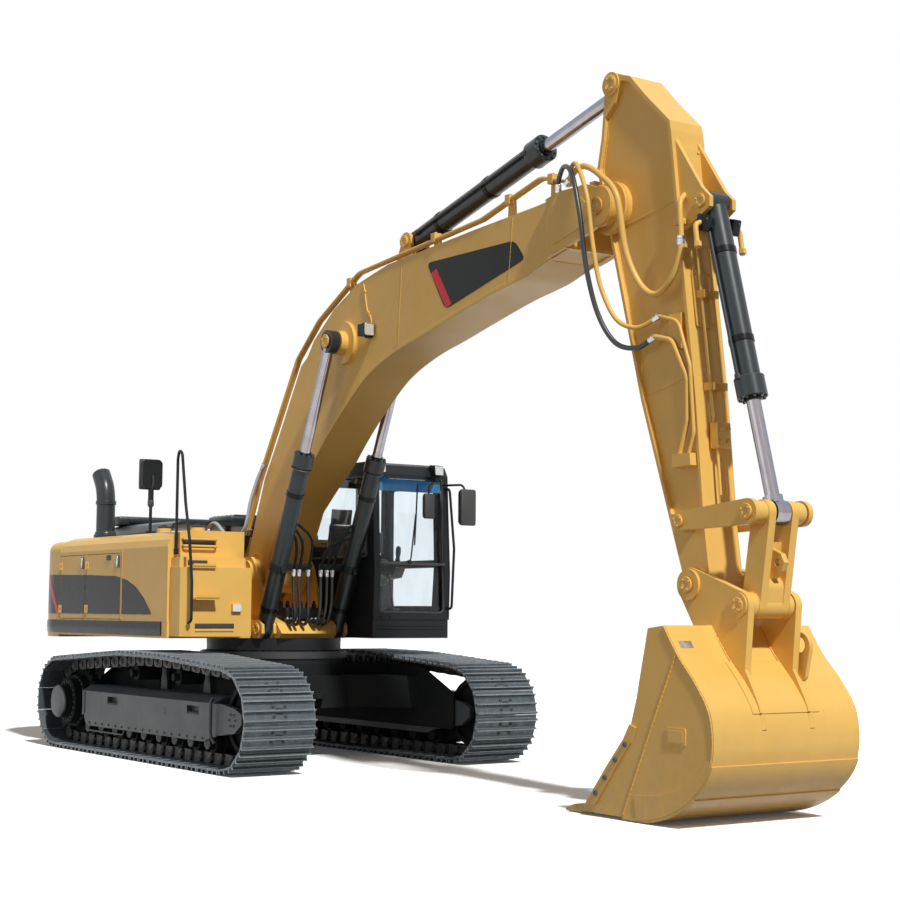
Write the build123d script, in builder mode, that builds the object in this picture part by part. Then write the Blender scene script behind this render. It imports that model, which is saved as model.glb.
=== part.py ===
"""Crawler excavator, full size, as separate named pieces in one frame.

Units are millimetres, +Z is up and +X is the way the cab looks. The ground is Z = 0.
Profiles are drawn as seen from the right, with x forward of the swing axis and y up.
"""
import math
import os

from build123d import *

os.makedirs("parts", exist_ok=True)

# Swing axis of the upper body, measured along X
SWING_X = -2090

# Tracks
TRACK_GAUGE = 2590
SHOE_WIDTH = 750
SHOE_PITCH = 215.9
SHOE_COUNT = 49
PITCH_RADIUS = 397.7
GROUSER_TIP = 106.3
PLATE_FACE = 70.3
PLATE_BACK = 58.3
RAIL_TOP = 52
AXLE_Z = GROUSER_TIP + PITCH_RADIUS
SPROCKET_X = -2020
ROLLER_COUNT = 9
ROLLER_STEP = 357.5
ROLLER_RADIUS = 95
CARRIERS = [(-379, 999), (618, 988)]
CARRIER_RADIUS = 75
TOW_EYE = 38

# Upper body
TAIL_RADIUS = 3450
TAIL_CORNER = 850
BODY_HALF = 1490
DECK_BOTTOM = 1240
DECK_TOP = 1420
SHOULDER_Z = 2130
ROOF_Z = 2340
HOOD_Z = 2500
BAY_REAR = -2350
BAY_FRONT = -660
PANEL = 45
DOOR_GAP = 6

# Cab
CAB_REAR = -620
CAB_FRONT = 1140
CAB_RIGHT = 545
CAB_LEFT = 1508
CAB_FLOOR = 1440
CAB_ROOF = 3110
CAB_WALL = 60

# Pins of the digging arm, forward of the swing axis and above the ground
BOOM_FOOT = (50, 1925)
BOOM_TIP = (5865, 4825)
STICK_NOSE = (5865, 5865)
BUCKET_PIN = (6884, 1742)
BOOM_CYL_FOOT = (571, 1336)
BOOM_CYL_EYE = (1830, 4195)
STICK_CYL_FOOT = (2693, 5100)
BUCKET_CYL_FOOT = (6892, 4699)
LINK_EYE = (7520, 2268)
LINK_HINGE = (6792, 2224)
POWER_LINK_PIN = (7405, 1589)

# Widths across the arm
BOOM_HALF = 250
BOOM_TIP_OUT = 300
BOOM_TIP_IN = 258
STICK_HALF = 172
STICK_SIDE = 132
STICK_HUB = 252
BUCKET_HALF = 735
EAR_IN = 212
EAR_OUT = 272
BOOM_CYL_Y = 430
PIN_FIT = 0.06
TUBE_Y = (212, 250)
LINK_LUG = 28


def side(y=0):
    """Plane seen from the right side, facing the right."""
    return Plane(origin=(SWING_X, y, 0), x_dir=(1, 0, 0), z_dir=(0, -1, 0))


def level(z):
    """Plane seen from above, facing up."""
    return Plane(origin=(SWING_X, 0, z))


def front(x):
    """Plane across the body, facing forward, with x to the left."""
    return Plane(origin=(SWING_X + x, 0, 0), x_dir=(0, 1, 0), z_dir=(1, 0, 0))


def bar(point, radius, y_low, y_high, mode=Mode.ADD):
    """Round bar or bore along Y in the piece being built."""
    with BuildSketch(side(y_high)) as disc:
        with Locations(point):
            Circle(radius)
    extrude(disc.sketch, amount=y_high - y_low, mode=mode)


def bars(point, radius, inner, outer, mode=Mode.ADD):
    """The same bar on the right and on the left."""
    bar(point, radius, inner, outer, mode)
    bar(point, radius, -outer, -inner, mode)


def slab(points, y_low, y_high, mode=Mode.ADD, corner=0):
    """Flat plate of a side profile between two distances from the middle."""
    with BuildSketch(side(y_high)) as shape:
        Polygon(*points, align=None)
        if corner:
            fillet(shape.vertices(), corner)
    extrude(shape.sketch, amount=y_high - y_low, mode=mode)


def slabs(points, inner, outer, mode=Mode.ADD, corner=0):
    """The same plate on the right and on the left."""
    slab(points, inner, outer, mode, corner)
    slab(points, -outer, -inner, mode, corner)


def block(x, y, z, mode=Mode.ADD):
    """Box between pairs of limits, measured from the swing axis."""
    with Locations((SWING_X + (x[0] + x[1]) / 2, (y[0] + y[1]) / 2, (z[0] + z[1]) / 2)):
        Box(x[1] - x[0], y[1] - y[0], z[1] - z[0], mode=mode)


def lobe(a, b, ra, rb, y_low, y_high, mode=Mode.ADD):
    """Plate around two pins with straight sides between the two rounds."""
    with BuildSketch(side(y_high)) as shape:
        with Locations(a):
            Circle(ra)
        with Locations(b):
            Circle(rb)
        make_hull()
    extrude(shape.sketch, amount=y_high - y_low, mode=mode)


def lobes(a, b, ra, rb, inner, outer, mode=Mode.ADD):
    """The same two-pin plate on the right and on the left."""
    lobe(a, b, ra, rb, inner, outer, mode)
    lobe(a, b, ra, rb, -outer, -inner, mode)


def along(a, b, distance, across=0):
    """Point at a distance from a toward b, and across to the left of that line."""
    length = math.dist(a, b)
    ux = (b[0] - a[0]) / length
    uz = (b[1] - a[1]) / length
    return (a[0] + ux * distance - uz * across, a[1] + uz * distance + ux * across)


def shaft(a, b, start, end, radius, y=0, mode=Mode.ADD):
    """Round bar in the side plane at distance y, along the line from a to b."""
    low = along(a, b, start)
    heading = (b[0] - a[0], 0, b[1] - a[1])
    plane = Plane(origin=(SWING_X + low[0], y, low[1]), z_dir=heading)
    with BuildSketch(plane) as disc:
        Circle(radius)
    extrude(disc.sketch, amount=end - start, mode=mode)


def pipe(points, radius, bend):
    """Tube along straight runs with an arc at each corner, in the piece being built."""
    stops = [Vector(SWING_X + x, y, z) for x, y, z in points]
    last = stops[0]
    with BuildLine() as route:
        for before, corner, after in zip(stops, stops[1:], stops[2:]):
            back = (before - corner).normalized()
            ahead = (after - corner).normalized()
            half = math.acos(max(-1, min(1, back.dot(ahead)))) / 2
            room = 0.45 * min((before - corner).length, (after - corner).length)
            cut = min(bend / math.tan(half), room)
            arc = cut * math.tan(half)
            middle = corner + (back + ahead).normalized() * (arc / math.sin(half) - arc)
            Line(last, corner + back * cut)
            ThreePointArc(corner + back * cut, middle, corner + ahead * cut)
            last = corner + ahead * cut
        Line(last, stops[-1])
    with BuildSketch(Plane(origin=route.line @ 0, z_dir=route.line % 0)) as ring:
        Circle(radius)
    sweep(sections=ring.sketch, path=route.line)


def upright(x, y, radius, low, high, mode=Mode.ADD):
    """Round bar or bore along Z in the piece being built."""
    with BuildSketch(level(low)) as disc:
        with Locations((x, y)):
            Circle(radius)
    extrude(disc.sketch, amount=high - low, mode=mode)


def knuckles(x, y, wall, heights):
    """Hinge knuckles beside a door's rear edge, each with its leaf on the door's face."""
    for z in heights:
        upright(x, y, 8, z - 45, z + 45)
        block((x, x + 55), sorted((y, wall)), (z - 45, z + 45))


# undercarriage


def tangent_angle(centre, radius, point, upper_side):
    """Angle on a circle where the upper straight run to a point leaves it."""
    dx = point[0] - centre[0]
    dz = point[1] - centre[1]
    base = math.atan2(dz, dx)
    spread = math.acos(radius / math.hypot(dx, dz))
    return base + spread if upper_side else base - spread


def track_path(idler_x):
    """Corner points of the pitch line, going forward along the ground."""
    idler = (idler_x, AXLE_Z)
    sprocket = (SPROCKET_X, AXLE_Z)
    low = -math.pi / 2
    high = tangent_angle(idler, PITCH_RADIUS, CARRIERS[1], False)
    points = [(SPROCKET_X, GROUSER_TIP)]
    steps = 90
    for i in range(steps + 1):
        a = low + (high - low) * i / steps
        points.append((idler[0] + PITCH_RADIUS * math.cos(a), idler[1] + PITCH_RADIUS * math.sin(a)))
    points.append(CARRIERS[1])
    points.append(CARRIERS[0])
    start = tangent_angle(sprocket, PITCH_RADIUS, CARRIERS[0], True)
    end = 3 * math.pi / 2
    for i in range(steps + 1):
        a = start + (end - start) * i / steps
        points.append((sprocket[0] + PITCH_RADIUS * math.cos(a), sprocket[1] + PITCH_RADIUS * math.sin(a)))
    return points


def path_length(points):
    return sum(math.dist(a, b) for a, b in zip(points, points[1:]))


def fitted_idler():
    """Idler place that makes the loop a whole number of shoes long."""
    low, high = 1950, 2060
    for _ in range(40):
        middle = (low + high) / 2
        if path_length(track_path(middle)) < SHOE_PITCH * SHOE_COUNT:
            low = middle
        else:
            high = middle
    return (low + high) / 2


IDLER_X = fitted_idler()


def link_pins():
    """Link pins at even steps around the loop."""
    points = track_path(IDLER_X)
    step = path_length(points) / SHOE_COUNT
    pins = []
    travelled = 0
    wanted = step / 2
    for a, b in zip(points, points[1:]):
        length = math.dist(a, b)
        while len(pins) < SHOE_COUNT and wanted <= travelled + length:
            share = (wanted - travelled) / length
            pins.append((a[0] + (b[0] - a[0]) * share, a[1] + (b[1] - a[1]) * share))
            wanted += step
        travelled += length
    return pins


def offset_loop(pins, offset):
    """Loop through the link pins moved outward by an offset."""
    loop = []
    for i, pin in enumerate(pins):
        before = pins[i - 1]
        after = pins[(i + 1) % len(pins)]
        tx, tz = after[0] - before[0], after[1] - before[1]
        size = math.hypot(tx, tz)
        loop.append((pin[0] + tz / size * offset, pin[1] - tx / size * offset))
    return loop


def shoe_outline(pins):
    """Outer outline with three grousers on every shoe."""
    outline = []
    profile = [(5, PLATE_FACE), (12, GROUSER_TIP), (28, PLATE_FACE), (94, PLATE_FACE),
               (103, GROUSER_TIP), (113, GROUSER_TIP), (122, PLATE_FACE),
               (188, PLATE_FACE), (204, GROUSER_TIP), (211, PLATE_FACE)]
    for i, pin in enumerate(pins):
        after = pins[(i + 1) % len(pins)]
        size = math.dist(pin, after)
        tx, tz = (after[0] - pin[0]) / size, (after[1] - pin[1]) / size
        for u, h in profile:
            outline.append((pin[0] + tx * u + tz * h, pin[1] + tz * u - tx * h))
    return outline


def build_track(y):
    """Whole loop: shoes with grousers outside and two link rails inside."""
    pins = link_pins()
    low, high = y - SHOE_WIDTH / 2, y + SHOE_WIDTH / 2
    with BuildPart() as track:
        slab(shoe_outline(pins), low, high)
        slab(offset_loop(pins, PLATE_BACK), low, high, mode=Mode.SUBTRACT)
        for rail in (-95, 95):
            with BuildSketch(side(y + rail + 24)) as ring:
                Polygon(*offset_loop(pins, PLATE_BACK + 4), align=None)
                Polygon(*offset_loop(pins, -RAIL_TOP), align=None, mode=Mode.SUBTRACT)
            extrude(ring.sketch, amount=48)
    return track


def build_sprockets():
    """Toothed drive wheels with their bolted hubs."""
    with BuildPart() as sprockets:
        for y in (-TRACK_GAUGE / 2, TRACK_GAUGE / 2):
            out = math.copysign(1, y)
            with BuildSketch(side(y + 35)) as wheel:
                with Locations((SPROCKET_X, AXLE_Z)):
                    Circle(352)
                with Locations((SPROCKET_X, AXLE_Z)):
                    with PolarLocations(362, 23):
                        Rectangle(60, 46)
            extrude(wheel.sketch, amount=70)
            ends = sorted((y + out * 35, y + out * 120))
            bar((SPROCKET_X, AXLE_Z), 290, ends[0], ends[1])
            ends = sorted((y + out * 120, y + out * 215))
            bar((SPROCKET_X, AXLE_Z), 250, ends[0], ends[1])
            ends = sorted((y + out * 215, y + out * 300))
            bar((SPROCKET_X, AXLE_Z), 180, ends[0], ends[1])
            ends = sorted((y - out * 35, y - out * 150))
            bar((SPROCKET_X, AXLE_Z), 240, ends[0], ends[1])
    return sprockets


def build_idlers():
    """Front guide wheels with a middle flange."""
    with BuildPart() as idlers:
        for y in (-TRACK_GAUGE / 2, TRACK_GAUGE / 2):
            bar((IDLER_X, AXLE_Z), 330, y - 130, y + 130)
            bar((IDLER_X, AXLE_Z), 372, y - 62, y + 62)
            bar((IDLER_X, AXLE_Z), 280, y + 95, y + 130, mode=Mode.SUBTRACT)
            bar((IDLER_X, AXLE_Z), 280, y - 130, y - 95, mode=Mode.SUBTRACT)
            bar((IDLER_X, AXLE_Z), 110, y - 168, y + 168)
    return idlers


def build_bottom_rollers():
    """Nine rollers a side, each with two treads and outer flanges."""
    z = GROUSER_TIP + RAIL_TOP + 1 + ROLLER_RADIUS
    with BuildPart() as rollers:
        for y in (-TRACK_GAUGE / 2, TRACK_GAUGE / 2):
            for i in range(ROLLER_COUNT):
                x = (i - (ROLLER_COUNT - 1) / 2) * ROLLER_STEP
                bar((x, z), ROLLER_RADIUS, y - 150, y + 150)
                bar((x, z), ROLLER_RADIUS + 20, y - 64, y + 64)
                bar((x, z), 62, y - 200, y + 200)
    return rollers


def build_carrier_rollers():
    """Two rollers a side under the upper run."""
    with BuildPart() as rollers:
        for y in (-TRACK_GAUGE / 2, TRACK_GAUGE / 2):
            for x, z in CARRIERS:
                centre = (x, z - RAIL_TOP - 6 - CARRIER_RADIUS)
                bar(centre, CARRIER_RADIUS, y - 130, y + 130)
                bar(centre, 38, y - 190, y + 130)
    return rollers


def build_track_frame(y):
    """Long side frame with roller skirts, idler yoke and drive bracket."""
    out = math.copysign(1, y)
    with BuildPart() as frame:
        with BuildSketch(front(-1560)) as section:
            Polygon((y - 225, 380), (y + 225, 380), (y + 225, 640), (y + 120, 700),
                    (y - 120, 700), (y - 225, 640), align=None)
        extrude(section.sketch, amount=3160)
        for edge in (-1, 1):
            ends = sorted((y + edge * 225, y + edge * 203))
            slab([(-1520, 400), (-1470, 300), (-1380, 268), (1380, 268), (1480, 300),
                  (1640, 330), (1640, 400)], ends[0], ends[1])
            ends = sorted((y + edge * 225, y + edge * 172))
            slab([(1560, 400), (1660, 340), (2010, 380), (2150, 470), (2150, 560), (2010, 610),
                  (1760, 640), (1560, 640)], ends[0], ends[1])
        # bracket beside the final drive
        ends = sorted((y - out * 225, y - out * 155))
        slab([(-1500, 400), (-1800, 330), (-2060, 300), (-2230, 420), (-2240, 580), (-2090, 720),
              (-1800, 690), (-1500, 660)], ends[0], ends[1])
        bar((SPROCKET_X, AXLE_Z), 235, min(y - out * 225, y - out * 330), max(y - out * 225, y - out * 330))
        # posts of the carrier rollers
        for x, z in CARRIERS:
            low = sorted((y - out * 190, y - out * 225))
            slab([(x - 90, 640), (x + 90, 640), (x + 50, z - 90), (x - 50, z - 90)], low[0], low[1])
        # steps let into the outer face
        for x in (-755, 1141):
            low = sorted((y + out * 226, y + out * 170))
            slab([(x - 130, 520), (x + 130, 520), (x + 130, 600), (x - 130, 600)], low[0], low[1],
                 mode=Mode.SUBTRACT)
    return frame


def build_car_body():
    """Middle of the undercarriage with four legs and the bearing seat."""
    with BuildPart() as body:
        with BuildSketch(level(520)) as plan:
            Rectangle(1700, 1500)
            for sx in (-1, 1):
                for sy in (-1, 1):
                    Polygon((sx * 350, sy * 500), (sx * 850, sy * 420), (sx * 1280, sy * 1069),
                            (sx * 560, sy * 1069), align=None)
        extrude(plan.sketch, amount=330)
        with BuildSketch(level(850)) as seat:
            Circle(770)
        extrude(seat.sketch, amount=120)
        for end in (-1, 1):
            with BuildSketch(level(625)) as lug:
                Polygon((end * 840, -130), (end * 960, -75), (end * 1000, -35), (end * 1000, 35), (end * 960, 75),
                        (end * 840, 130), align=None)
                with Locations((end * 925, 0)):
                    Circle(TOW_EYE, mode=Mode.SUBTRACT)
            extrude(lug.sketch, amount=50)
    return body


def build_swing_ring(low, high, radius):
    """One race of the swing bearing."""
    with BuildPart() as ring:
        with BuildSketch(level(low)) as plan:
            Circle(radius)
            Circle(560, mode=Mode.SUBTRACT)
        extrude(plan.sketch, amount=high - low)
    return ring


def tail_outline(inset=0):
    """Plan of the counterweight: flat sides, round corners and a round tail."""
    reach = TAIL_RADIUS - inset
    corner = TAIL_CORNER - inset
    half = BODY_HALF - inset
    cy = half - corner
    cx = -math.sqrt((reach - corner) ** 2 - cy ** 2)
    heading = math.atan2(cy, cx)
    touch = (cx + corner * math.cos(heading), cy + corner * math.sin(heading))
    middle_angle = (heading + math.pi / 2) / 2
    middle = (cx + corner * math.cos(middle_angle), cy + corner * math.sin(middle_angle))
    return cx, half, touch, middle, reach


def build_counterweight():
    """Cast tail weight with a rounded top edge and two lifting eyes."""
    cx, half, touch, middle, reach = tail_outline()
    with BuildPart() as weight:
        with BuildSketch(level(1215)) as plan:
            with BuildLine():
                Polyline((cx, half), (BAY_REAR - 6, half), (BAY_REAR - 6, -half), (cx, -half))
                ThreePointArc((cx, -half), (middle[0], -middle[1]), (touch[0], -touch[1]))
                ThreePointArc((touch[0], -touch[1]), (-reach, 0), touch)
                ThreePointArc(touch, middle, (cx, half))
            make_face()
        extrude(plan.sketch, amount=1085)
        top = weight.faces().sort_by(Axis.Z)[-1]
        outer = [e for e in top.edges() if e.center().X < SWING_X + BAY_REAR - 20]
        fillet(outer, 110)
        for y in (-650, 650):
            slab([(-2900, 2299), (-2740, 2299), (-2760, 2400), (-2880, 2400)], y - 20, y + 20)
            bar((-2820, 2352), 28, y - 20, y + 20, mode=Mode.SUBTRACT)
    return weight


def build_upper_frame():
    """Deck with boom brackets, cylinder lugs and round front corners."""
    with BuildPart() as frame:
        with BuildSketch(level(DECK_BOTTOM)) as plan:
            Polygon((BAY_REAR, -BODY_HALF), (460, -BODY_HALF), (460, -535), (-60, -535), (-60, 535),
                    (460, 535), (460, BODY_HALF), (BAY_REAR, BODY_HALF), align=None)
        extrude(plan.sketch, amount=DECK_TOP - DECK_BOTTOM)
        # middle beam carrying the boom
        slab([(BAY_FRONT, DECK_BOTTOM), (700, DECK_BOTTOM), (760, 1290), (640, 1400), (330, 1490),
              (BAY_FRONT, 1500)], -330, 330)
        # tall brackets on both sides of the boom foot
        outline = [(-620, 1480), (425, 1480), (310, 1800), (220, 2010), (120, 2095), (-60, 2095),
                   (-190, 1960), (-330, 1700)]
        slabs(outline, 322, 362)
        bars(BOOM_FOOT, 135, 318, 392)
        bar(BOOM_FOOT, 60, -430, 430)
        # lugs of the boom cylinders
        for y in (-BOOM_CYL_Y, BOOM_CYL_Y):
            for edge in (-1, 1):
                low = y + edge * 70 - 17
                slab([(330, DECK_BOTTOM), (620, DECK_BOTTOM), (672, 1290), (665, 1380), (610, 1428),
                      (530, 1430), (400, 1420), (330, 1460)], low, low + 34)
            bar(BOOM_CYL_FOOT, 48, y - 98, y + 98)
        block((-100, 430), (-535, 535), (DECK_BOTTOM, DECK_TOP))
    return frame


def build_engine():
    """Engine as one plain block, set across the bay."""
    with BuildPart() as engine:
        block((-2150, -1350), (-700, 620), (1430, 2260))
    return engine


def build_radiator():
    """Cooling pack on the left of the engine bay."""
    with BuildPart() as radiator:
        block((-2200, -1000), (980, 1180), (1430, 2240))
    return radiator


def shoulder_profile(out):
    """Section of the rounded top edge of the body, seen from the front."""
    return [(out * BODY_HALF, SHOULDER_Z), (out * BODY_HALF, SHOULDER_Z + 40),
            (out * (BODY_HALF - 22), SHOULDER_Z + 112), (out * (BODY_HALF - 75), SHOULDER_Z + 168),
            (out * (BODY_HALF - 150), ROOF_Z - 12), (out * (BODY_HALF - 250), ROOF_Z),
            (out * 960, ROOF_Z), (out * 960, ROOF_Z - 40), (out * (BODY_HALF - 250), ROOF_Z - 40),
            (out * (BODY_HALF - 140), ROOF_Z - 60), (out * (BODY_HALF - 60), SHOULDER_Z + 60),
            (out * (BODY_HALF - PANEL), SHOULDER_Z)]


def build_body_panels():
    """Rounded shoulders, door posts and the bulkhead around the engine bay."""
    with BuildPart() as panels:
        for out in (-1, 1):
            with BuildSketch(front(BAY_REAR)) as section:
                Polygon(*shoulder_profile(out), align=None)
            extrude(section.sketch, amount=BAY_FRONT - BAY_REAR)
            for x in (-1640, ):
                y = sorted((out * BODY_HALF, out * (BODY_HALF - PANEL)))
                block((x, x + 30), y, (DECK_TOP, SHOULDER_Z + 2))
        block((BAY_FRONT - 30, BAY_FRONT), (-BODY_HALF, BODY_HALF), (DECK_TOP, SHOULDER_Z))
        block((BAY_FRONT - 30, BAY_FRONT), (-BODY_HALF + 60, BODY_HALF - 60),
              (SHOULDER_Z, ROOF_Z - 60))
        block((BAY_FRONT - 30, BAY_FRONT), (-960, 960), (ROOF_Z - 60, ROOF_Z))
    return panels


def build_side_door(x_low, x_high, out, slots=0):
    """Flat access door in the side of the body, with its knuckles and any louvre slots."""
    y = sorted((out * BODY_HALF, out * (BODY_HALF - PANEL)))
    with BuildPart() as door:
        block((x_low + DOOR_GAP, x_high - DOOR_GAP), y, (DECK_TOP + DOOR_GAP, SHOULDER_Z - DOOR_GAP))
        knuckles(x_low + DOOR_GAP, out * (BODY_HALF + 8), out * BODY_HALF, (1530, 2010))
        for i in range(slots):
            z = 1560 + i * 60
            block((x_low + 110, x_high - 110), (y[0] - 1, y[1] + 1), (z, z + 26), mode=Mode.SUBTRACT)
    return door


def build_engine_hood():
    """Raised hood over the engine."""
    with BuildPart() as hood:
        with BuildSketch(front(BAY_REAR + 8)) as section:
            Polygon((-952, ROOF_Z - 30), (-952, ROOF_Z + 40), (-880, HOOD_Z - 30), (-780, HOOD_Z),
                    (780, HOOD_Z), (880, HOOD_Z - 30), (952, ROOF_Z + 40), (952, ROOF_Z - 30),
                    (912, ROOF_Z - 30), (912, ROOF_Z + 24), (850, HOOD_Z - 62), (770, HOOD_Z - 40),
                    (-770, HOOD_Z - 40), (-850, HOOD_Z - 62), (-912, ROOF_Z + 24),
                    (-912, ROOF_Z - 30), align=None)
        extrude(section.sketch, amount=BAY_FRONT - BAY_REAR - 16 - 36)
        for y in (-640, 640):
            bar((BAY_REAR + 8, 2315), 8, y - 40, y + 40)
            block((BAY_REAR + 8, BAY_REAR + 16), (y - 40, y + 40), (2310, HOOD_Z - 20))
        # louvres over the cooling air
        for i in range(7):
            x = -2180 + i * 75
            block((x, x + 34), (260, 740), (HOOD_Z - 60, HOOD_Z + 20), mode=Mode.SUBTRACT)
    return hood


def build_tank():
    """Fuel and oil tank housing in front of the right bulkhead."""
    with BuildPart() as tank:
        profile = [(BODY_HALF, DECK_TOP), (BODY_HALF, SHOULDER_Z + 40), (BODY_HALF - 22, SHOULDER_Z + 112),
                   (BODY_HALF - 75, SHOULDER_Z + 168), (BODY_HALF - 150, ROOF_Z - 12),
                   (BODY_HALF - 250, ROOF_Z), (620, ROOF_Z), (620, DECK_TOP)]
        with BuildSketch(front(BAY_FRONT)) as section:
            Polygon(*[(-y, z) for y, z in profile], align=None)
        extrude(section.sketch, amount=450 - BAY_FRONT)
        for x, y in ((-300, -1180), (120, -1000)):
            with BuildSketch(level(ROOF_Z)) as cap:
                with Locations((x, y)):
                    Circle(75)
            extrude(cap.sketch, amount=45)
    return tank


def build_toolbox():
    """Front right locker with two steps up to the tank."""
    with BuildPart() as locker:
        with BuildSketch(level(DECK_BOTTOM + 20)) as plan:
            Polygon((462, -1465), (690, -1465), (775, -1380), (775, -700), (462, -700), align=None)
        extrude(plan.sketch, amount=700)
        block((462, 640), (-1450, -700), (1960, 2060))
        # foot steps with a raised toe edge
        for z, x in ((1960, 690), (1640, 776)):
            block((x, x + 110), (-1380, -1120), (z - 12, z))
            block((x + 100, x + 110), (-1380, -1120), (z - 12, z + 22))
        block((775, 806), (-930, -825), (1510, 1590))
    return locker


def build_exhaust():
    """Wide stack with its slanted outlet on the right rear."""
    x, y = -1900, -1150
    radius = 105
    bend = Plane(origin=(SWING_X + x, y, ROOF_Z + 560), z_dir=(-0.6, 0, 0.8))
    with BuildPart() as exhaust:
        upright(x, y, radius + 22, ROOF_Z, ROOF_Z + 70)
        upright(x, y, radius, ROOF_Z + 70, ROOF_Z + 560)
        upright(x, y, radius + 14, ROOF_Z + 380, ROOF_Z + 410)
        with BuildSketch(bend) as outlet:
            Circle(radius)
        extrude(outlet.sketch, amount=170)
        with BuildSketch(bend.offset(60)) as hollow:
            Circle(radius - 10)
        extrude(hollow.sketch, amount=130, mode=Mode.SUBTRACT)
        with Locations((SWING_X + x, y, ROOF_Z + 560)):
            Sphere(radius)
        upright(x, y, radius - 10, ROOF_Z + 600, ROOF_Z + 610, mode=Mode.ADD)
    return exhaust


def build_handrails():
    """Thin rail at the right front steps, and the rail beside the cab door."""
    with BuildPart() as rails:
        pipe([(472, -1410, 2120), (472, -1410, 3060), (500, -1410, 3150), (570, -1410, 3120),
              (670, -1410, 2600), (775, -1410, 2230), (845, -1410, 1800), (845, -1410, 1420),
              (776, -1410, 1400)], 15, 90)
        block((450, 490), (-1428, -1392), (2090, 2150))
    with BuildPart() as front_rail:
        pipe([(1146, 1478, 1560), (1230, 1478, 1560), (1270, 1478, 2200), (1180, 1478, 2840),
              (1106, 1478, 2850)], 14, 60)
    return rails, front_rail


def build_right_mirror():
    """Mirror of the right side on its post."""
    x, y = -530, -1235
    with BuildPart() as mirror:
        upright(x, y, 17, ROOF_Z, 2860)
        upright(x, y, 55, ROOF_Z, ROOF_Z + 22)
        upright(x, y, 30, 2680, 2840)
        with BuildSketch(front(x - 40)) as head:
            with Locations((y, 2975)):
                RectangleRounded(230, 310, 50)
        extrude(head.sketch, amount=75)
    return mirror


def build_left_mirrors():
    """Large mirror on its arm at the cab's front left, and the small one beside the windscreen."""
    with BuildPart() as mirror:
        with BuildSketch(front(1360)) as head:
            with Locations((1560, 2640)):
                RectangleRounded(190, 380, 45)
        extrude(head.sketch, amount=60)
        pipe([(1105, 1440, 2885), (1180, 1450, 2885), (1370, 1535, 2885), (1375, 1545, 2700)], 12, 60)
    with BuildPart() as small:
        with BuildSketch(front(1175)) as head:
            with Locations((1195, 2650)):
                RectangleRounded(130, 260, 35)
        extrude(head.sketch, amount=45)
        pipe([(1101, 1330, 2960), (1150, 1300, 2930), (1190, 1200, 2860), (1190, 1195, 2700)], 10, 40)
    return mirror, small


def build_lamps():
    """Work lamps on the cab roof's front corners."""
    lamps = []
    for y in (606, 1345):
        with BuildPart() as lamp:
            slab([(1098, 2982), (1040, 3081), (1080, 3104), (1165, 3088), (1172, 2990)], y - 55, y + 55)
        lamps.append(lamp)
    return lamps


def build_visor():
    """Tinted rain visor over the windscreen."""
    with BuildPart() as visor:
        slab([(1097, 2966), (1238, 2906), (1241, 2913), (1099, 2974)], 666, 1285)
    return visor


def build_cab_shell():
    """Hollow cab with floor, roof, pillars and cut windows."""
    lean = 45
    with BuildPart() as cab:
        outline = [(CAB_REAR, CAB_FLOOR), (CAB_FRONT, CAB_FLOOR), (CAB_FRONT + 15, CAB_FLOOR + 500),
                   (CAB_FRONT - lean, CAB_ROOF - 130), (CAB_FRONT - lean - 60, CAB_ROOF - 30),
                   (CAB_FRONT - lean - 160, CAB_ROOF), (CAB_REAR + 90, CAB_ROOF), (CAB_REAR, CAB_ROOF - 90)]
        slab(outline, CAB_RIGHT, CAB_LEFT)
        inner = [(CAB_REAR + CAB_WALL, CAB_FLOOR + 60), (CAB_FRONT - CAB_WALL, CAB_FLOOR + 60),
                 (CAB_FRONT + 15 - CAB_WALL, CAB_FLOOR + 500), (CAB_FRONT - lean - CAB_WALL, CAB_ROOF - 150),
                 (CAB_FRONT - lean - 150, CAB_ROOF - 60), (CAB_REAR + 110, CAB_ROOF - 60),
                 (CAB_REAR + CAB_WALL, CAB_ROOF - 110)]
        slab(inner, CAB_RIGHT + CAB_WALL, CAB_LEFT - CAB_WALL, mode=Mode.SUBTRACT)
        # windscreen
        block((CAB_FRONT - 150, CAB_FRONT + 60), (CAB_RIGHT + 75, CAB_LEFT - 75),
              (CAB_FLOOR + 75, CAB_ROOF - 150), mode=Mode.SUBTRACT)
        # rear window
        block((CAB_REAR - 5, CAB_REAR + 70), (CAB_RIGHT + 110, CAB_LEFT - 110),
              (2250, CAB_ROOF - 170), mode=Mode.SUBTRACT)
        # right side window
        slab([(CAB_REAR + 130, 2100), (CAB_FRONT - 140, 2100), (CAB_FRONT - 170, CAB_ROOF - 160),
              (CAB_REAR + 130, CAB_ROOF - 160)], CAB_RIGHT - 5, CAB_RIGHT + 70, mode=Mode.SUBTRACT)
        # door opening and the window behind it
        slab([(-60, CAB_FLOOR + 40), (960, CAB_FLOOR + 40), (1000, 2000), (960, CAB_ROOF - 150),
              (-60, CAB_ROOF - 150)], CAB_LEFT - 70, CAB_LEFT + 5, mode=Mode.SUBTRACT)
        slab([(CAB_REAR + 110, 2160), (-150, 2160), (-150, CAB_ROOF - 170), (CAB_REAR + 110, CAB_ROOF - 170)],
             CAB_LEFT - 70, CAB_LEFT + 5, mode=Mode.SUBTRACT)
        # mounting box under the floor
        block((CAB_REAR + 60, CAB_FRONT - 10), (CAB_RIGHT, CAB_LEFT - 10), (DECK_TOP, CAB_FLOOR))
        block((464, CAB_FRONT - 10), (CAB_RIGHT, CAB_LEFT - 10), (DECK_BOTTOM + 5, CAB_FLOOR))
    return cab


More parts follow.
